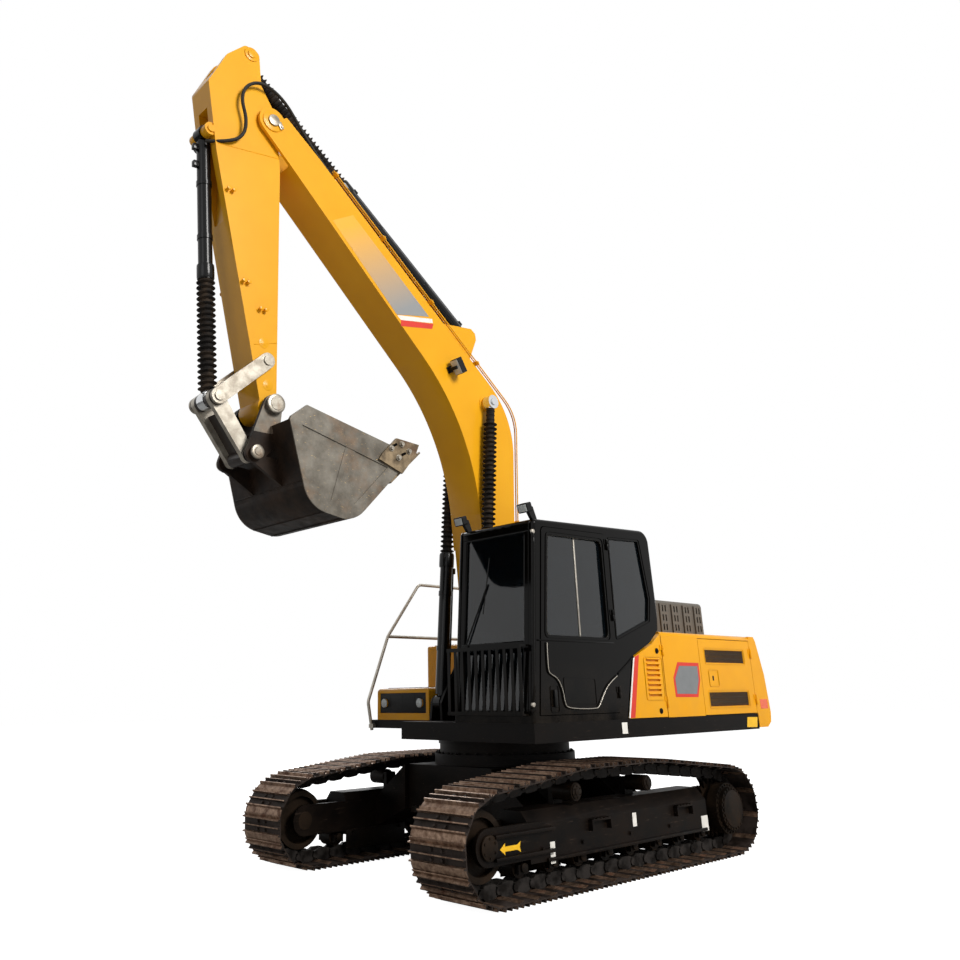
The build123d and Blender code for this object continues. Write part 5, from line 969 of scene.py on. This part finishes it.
NOSE_U = 5.704
bosses = bmesh.new()
pins = bmesh.new()
for side in (1, -1):
    lathe(bosses, [(0.0, 0.115), (side * 0.010, 0.115), (side * 0.014, 0.103), (side * 0.014, 0.0)],
          BOOM @ moved(NOSE_U, side * BOOM_Y, 0) @ turned(90, "Z"), 36)
    lathe(bosses, [(0.0, 0.09), (side * 0.006, 0.09), (side * 0.008, 0.08), (side * 0.008, 0.0)],
          BOOM @ moved(2.206, side * BOOM_Y, 1.196) @ turned(90, "Z"), 36)
    face = side * 0.234
    disc(pins, NOSE_U, face, 0, side * 0.02, 0.062, 28, 0.006, BOOM)
    block(pins, (5.60, face, 0.03), (5.68, face + side * 0.014, 0.075), BOOM, 0.004)
    bolt(pins, (5.62, face + side * 0.012, 0.052), (0, side, 0), 0.012, BOOM)
    disc(pins, 0, side * 0.249, 0, side * 0.019, 0.062, 28, 0.006, BOOM)
piece("boom_bosses", bosses, "boom", ARM_YELLOW)
piece("boom_pin_caps", pins, "boom", BARE)

film("boom_film_grey", [(3.33, 0.935), (3.48, 0.50), (4.60, 0.20), (4.60, 0.50)], BOOM_Y, "boom",
     BOOM_FILM, BOOM)
film("boom_stripe_white", [(3.295, 0.967), (3.474, 0.499), (3.411, 0.523), (3.25, 0.95)], BOOM_Y, "boom",
     WHITE_FILM, BOOM, "panel_yellow")
film("boom_stripe_red", [(3.24, 0.955), (3.411, 0.523), (3.353, 0.487), (3.196, 0.902)], BOOM_Y, "boom",
     RED_FILM, BOOM)

# Clamp covers over the boom pipes, and two thin grease lines that run on them
LOW_TOP = BOOM @ moved(-0.08, 0, 0.14) @ turned(-34.85, "Y")
HIGH_TOP = BOOM @ moved(1.932, 0, 1.541) @ turned(19.24, "Y")
clamp_covers = bmesh.new()
grease_runs = []
for side in (1, -1):
    for top, stations in ((LOW_TOP, (0.810, 1.245)), (HIGH_TOP, (0.751, 1.611, 2.470, 3.283))):
        for d in stations:
            block(clamp_covers, (d - 0.026, side * 0.128, 0.0312), (d + 0.026, side * 0.262, 0.043), top,
                  0.003)
            for y in (0.168, 0.250):
                bolt(clamp_covers, (d, side * y, 0.043), (0, 0, 1), 0.010, top)
    for y in (0.205, 0.232):
        run = [LOW_TOP @ Vector((d, side * y, 0.050)) for d in (0.66, 1.2, 1.7, 2.008)]
        run.append(BOOM @ Vector((1.9244, side * y, 1.5966)))
        run += [HIGH_TOP @ Vector((d, side * y, 0.050)) for d in (0.444, 1.2, 2.2, 3.33)]
        grease_runs.append(run)
piece("pipe_clamp_covers", clamp_covers, "boom", ARM_YELLOW)
tube("grease_lines", grease_runs, 0.007, "boom", ARM_YELLOW)

# Hoses: from the boom pipes' upper ends over the nose to the bucket cylinder, and up from the deck
# to the pipes' lower ends
NOSE_RUN = ((2.425, 0.186, 6.487), (2.58, 0.186, 6.615), (2.80, 0.186, 6.85), (3.06, 0.225, 7.10),
            (3.33, 0.235, 7.17), (3.50, 0.235, 7.04), (3.54, 0.235, 6.86), (3.46, 0.232, 6.66),
            (3.48, 0.225, 6.45), (3.66, 0.20, 6.33), (3.80, 0.10, 6.33))
FOOT_RUN = ((-0.062, 2.73), (-0.062, 2.60), (-0.08, 2.35), (-0.24, 2.05), (-0.36, 1.70), (-0.36, 1.40),
            (-0.36, 1.245))
for side, label in ((1, "left"), (-1, "right")):
    loop = [spot(x, side * y, z) for x, y, z in NOSE_RUN]
    nose = tube("nose_hoses_" + label, [loop], 0.017, None, HOSE)
    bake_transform(nose)
    drops = [[spot(x, side * y, z) for x, z in FOOT_RUN] for y in (0.150, 0.186)]
    foot = tube("foot_hoses_" + label, drops, 0.016, None, HOSE)
    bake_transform(foot)

# Stick: flat bosses under the rocker's bars, bosses of the cylinder's pin, weld beads and hose clips
bosses, clips = bmesh.new(), bmesh.new()
for side in (1, -1):
    face = side * STICK_Y
    for x, z in ((3.094, 4.458), (3.028, 4.071)):
        disc(bosses, x, face - side * 0.004, z, side * 0.0062, 0.052, 28, 0.001)
        disc(bosses, x, face + side * 0.0022, z, side * 0.0018, 0.024, 18, 0.001)
    disc(bosses, -0.72, face, 0.22, side * 0.010, 0.078, 32, 0.004, STICK)
    disc(bosses, -0.72, face + side * 0.010, 0.22, side * 0.012, 0.046, 24, 0.004, STICK)
    for a, b in (((0.36, -0.108), (0.44, 0.565)), ((2.30, -0.085), (2.36, 0.150))):
        bar(bosses, (a[0], face, a[1]), (b[0], face, b[1]), 0.0045, 8, where=STICK)
    for x, z in ((3.547, 5.871), (3.327, 4.994), (3.134, 4.772)):
        for dx in (-0.026, 0.026):
            disc(clips, x + dx, face - side * 0.003, z, side * 0.037, 0.015, 16, 0.002)
            disc(clips, x + dx, face + side * 0.034, z, side * 0.012, 0.021, 16, 0.003)
piece("stick_bosses", bosses, "stick", ARM_YELLOW)
piece("stick_clips", clips, "stick", ARM_YELLOW)


# Cylinders: bellows over the rods, glands with their bolts, bands, pipes and their blocks on the barrels

def folds(mesh, where, x0, x1, tip, inner, y, slim):
    """Moulded bellows with rounded folds along the cylinder's own X, the last ones slim."""
    count = max(2, round((x1 - x0) / 0.052))
    step = (x1 - x0) / count
    root = tip - 0.026
    profile = [(x0, inner), (x0, root + 0.006), (x0 + 0.012, root + 0.006)]
    for k in range(count):
        s = x0 + k * step
        r = tip if k < count - slim else 0.0490
        low = min(root, r - 0.005)
        profile += [(s + 0.20 * step, low), (s + 0.42 * step, r - 0.003), (s + 0.5 * step, r),
                    (s + 0.58 * step, r - 0.003), (s + 0.80 * step, low)]
    profile += [(x1 - 0.006, low + 0.002), (x1, low + 0.002), (x1, inner)]
    lathe(mesh, profile, where @ moved(0, y, 0), 28)


def cylinder_frame(foot, head):
    """Frame of a cylinder between its two pivots, and their distance."""
    run = Vector(head) - Vector(foot)
    return laid(foot[0], foot[1], math.degrees(math.atan2(run.y, run.x))), run.length


def pivot(arm, u, v):
    """A point of an arm's own frame, as distances from the swing axis and the ground."""
    at = arm @ Vector((u, 0, v))
    return at.x - SWING_X, at.z


BOOM_RAM, BOOM_REACH = cylinder_frame((0.56, 1.40), (0.3097, 4.4402))
STICK_RAM, STICK_REACH = cylinder_frame(pivot(BOOM, 2.95, 1.55), pivot(STICK, -0.72, 0.22))
BUCKET_RAM, BUCKET_REACH = cylinder_frame(pivot(STICK, 0.30, 0.63), pivot(STICK, 2.90, 0.505))
# Name, frame, bellows' ends along it, their outer and inner radius, gland's radius, rows, slim folds,
# blocks on the barrel and the two bodies
RAMS = (
    ("boom", BOOM_RAM, 1.48, BOOM_REACH - 0.0753, 0.074, 0.0425, 0.073, (0.305, -0.305), 3, (0.12, 1.28),
     "boom_barrels", "boom_rods"),
    ("stick", STICK_RAM, 2.21, STICK_REACH - 0.0853, 0.087, 0.0485, 0.083, (0.0,), 0, (0.12, 2.01),
     "stick_barrel", "stick_rod"),
    ("bucket", BUCKET_RAM, 1.48, BUCKET_REACH - 0.0803, 0.084, 0.0425, 0.073, (0.0,), 0, (0.12, 0.30),
     "bucket_barrel", "bucket_rod"),
)
for label, where, x0, x1, tip, inner, r, rows, slim, stands, barrel, rod in RAMS:
    sleeve = bmesh.new()
    for y in rows:
        folds(sleeve, where, x0 + 0.002, x1, tip, inner, y, slim)
    made = piece(label + "_bellows_sleeve", sleeve, None, RUBBER, smooth=60)
    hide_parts(label + "_bellows")
    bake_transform(made)
    glands = bmesh.new()
    for y in rows:
        at = where @ moved(0, y, 0)
        lathe(glands, [(x0 - 0.14, r - 0.008), (x0 - 0.14, r + 0.004), (x0 - 0.12, r + 0.006),
                       (x0 - 0.02, r + 0.006), (x0 - 0.004, r + 0.002), (x0 - 0.004, r - 0.01)], at, 40)
        for k in range(10):
            a = 2 * math.pi * k / 10
            p = Vector((x0 - 0.004, (r - 0.012) * math.cos(a), (r - 0.012) * math.sin(a)))
            bolt(glands, p, (1, 0, 0), 0.008, at)
        for x in (0.35 * x0, 0.72 * x0):
            lathe(glands, [(x - 0.022, r - 0.01), (x - 0.022, r - 0.001), (x + 0.022, r - 0.001),
                           (x + 0.022, r - 0.01)], at, 32)
        if label != "bucket":
            bar(glands, (0.17, 0, r + 0.022), (x0 - 0.16, 0, r + 0.022), 0.011, 12, where=at)
        for x in stands:
            block(glands, (x, -0.024, r - 0.012), (x + 0.06, 0.024, r + 0.040), at, 0.005)
    piece(label + "_cylinder_glands", glands, barrel, CYLINDER)


# Bucket: cutter bolts, painted shade patches in the recesses of the cutter sockets, pin collars, and weld
# beads across its back
cutters, sockets, beads = bmesh.new(), bmesh.new(), bmesh.new()
for side in (1, -1):
    face = side * CUTTER_Y
    for u, v in ((1.095, 0.10), (1.205, 0.02), (1.19, 0.16), (1.30, 0.06)):
        bolt(cutters, (u, face, v), (0, side, 0), 0.021, BUCKET)
    # Painted shade: flat black patches stand in for the shadow in the recesses of the cutter sockets
    for u, v in ((1.13, 0.055), (1.245, 0.105)):
        block(sockets, (u - 0.03, face, v - 0.012), (u + 0.03, face + side * 0.0015, v + 0.012), BUCKET,
              0.0, turned(38, "Y"))
    for u, v, r in ((0.0, 0.0, 0.088), (-0.080, 0.477, 0.062)):
        place = BUCKET @ moved(u, side * 0.2985, v) @ turned(90, "Z")
        lathe(cutters, [(-side * 0.016, r), (0.0, r), (side * 0.004, r - 0.006), (side * 0.004, r - 0.026),
                        (side * 0.010, r - 0.030), (side * 0.010, 0.0)], place, 32)
piece("bucket_bolts", cutters, "bucket", BARE)
piece("cutter_socket_shade", sockets, "bucket", PAINTED_SHADE_BLACK, slot="frame_black")
for u, v, turn in ((0.245, 0.679, 63.4), (0.505, 0.875, 0.0), (0.70, 0.875, 0.0), (0.935, 0.717, -55.4)):
    place = BUCKET @ moved(u, 0, v) @ turned(-turn, "Y")
    bar(beads, (0, -0.545, 0.0), (0, 0.545, 0.0), 0.007, 8, where=place)
piece("bucket_weld_beads", beads, "bucket", BUCKET_STEEL)


# Glasses of the work lamps on the cab's roof and on the boom
glasses = bmesh.new()
for y in (0.455, 1.29):
    head = HERE @ moved(0.962, y, 3.048) @ turned(18, "Y")
    block(glasses, (0.0315, -0.050, -0.032), (0.0345, 0.050, 0.032), head, 0.001)
    for k in range(5):
        block(glasses, (0.034, -0.042 + 0.019 * k, -0.028), (0.0375, -0.034 + 0.019 * k, 0.028), head)
piece("roof_lamp_glasses", glasses, "upper", LENS)
glasses = bmesh.new()
block(glasses, (2.642, 0.270, 0.9005), (2.798, 0.366, 0.9042), BOOM, 0.001)
piece("boom_lamp_glass", glasses, "boom", LENS)


# Floor, light and camera

floor_mesh = bmesh.new()
bmesh.ops.create_grid(floor_mesh, x_segments=2, y_segments=2, size=60.0)
made, shader, place = surface("pale studio floor", Roughness=0.9, Specular_IOR_Level=0.0,
                              Base_Color=linear("CFCFCD"), Emission_Color=linear("FFFFFF"))
seen = add(made.node_tree, "ShaderNodeLightPath")["Is Camera Ray"]
glow = add(made.node_tree, "ShaderNodeMath", {0: seen, 1: 0.97}, operation="MULTIPLY")[0]
feed(shader, Emission_Strength=glow)
floor = piece("studio_floor", floor_mesh, None, made)
floor.location.z = -0.0015

world = bpy.data.worlds.new("studio")
bpy.context.scene.world = world
world.use_nodes = True
tree = world.node_tree
tree.nodes.clear()
rays = add(tree, "ShaderNodeLightPath")
seen = rays["Is Camera Ray"]
for kind in ("Is Glossy Ray", "Is Transmission Ray"):
    seen = add(tree, "ShaderNodeMath", {0: seen, 1: rays[kind]}, operation="MAXIMUM")[0]
light = add(tree, "ShaderNodeBackground", {"Color": (0.92, 0.95, 1.0, 1.0), "Strength": 0.14})[0]
back = add(tree, "ShaderNodeBackground", {"Color": (1.0, 1.0, 1.0, 1.0), "Strength": 1.0})[0]
both = add(tree, "ShaderNodeMixShader", {0: seen, 1: light, 2: back})[0]
add(tree, "ShaderNodeOutputWorld", {0: both})


def softbox(name, at, aim, size, watts, colour=(1.0, 1.0, 1.0)):
    lamp = bpy.data.lights.new(name, "AREA")
    lamp.shape = "DISK"
    lamp.size = size
    lamp.energy = watts
    lamp.color = colour
    made = bpy.data.objects.new(name, lamp)
    made.location = at
    made.rotation_euler = (Vector(aim) - Vector(at)).to_track_quat("-Z", "Y").to_euler()
    bpy.context.scene.collection.objects.link(made)


softbox("key", (-1.0, 22.0, 15.0), (0.0, 0.0, 3.5), 9.0, 5900.0, (1.0, 0.98, 0.95))
softbox("front fill", (18.0, 6.0, 9.0), (0.0, 0.0, 2.5), 9.0, 260.0)
softbox("rim", (-9.0, -14.0, 12.0), (0.0, 0.0, 2.5), 8.0, 1100.0)

lens = bpy.data.cameras.new("front left")
lens.sensor_width = 36.0
lens.lens = 32.868
lens.shift_x = 0.0536
lens.shift_y = -0.1266
lens.clip_end = 200.0
camera = bpy.data.objects.new("front left", lens)
bpy.context.scene.collection.objects.link(camera)
yaw, pitch, roll = math.radians(227.623), math.radians(21.089), math.radians(-0.908)
ahead = Vector((math.cos(pitch) * math.cos(yaw), math.cos(pitch) * math.sin(yaw), math.sin(pitch)))
right = ahead.cross(Vector((0, 0, 1))).normalized()
up = right.cross(ahead)
right, up = math.cos(roll) * right + math.sin(roll) * up, -math.sin(roll) * right + math.cos(roll) * up
turn = Matrix((right, up, -ahead)).transposed().to_4x4()
camera.matrix_world = moved(6.4807, 6.5697, 1.4611) @ turn
bpy.context.scene.camera = camera

bpy.context.scene.view_settings.view_transform = "Standard"
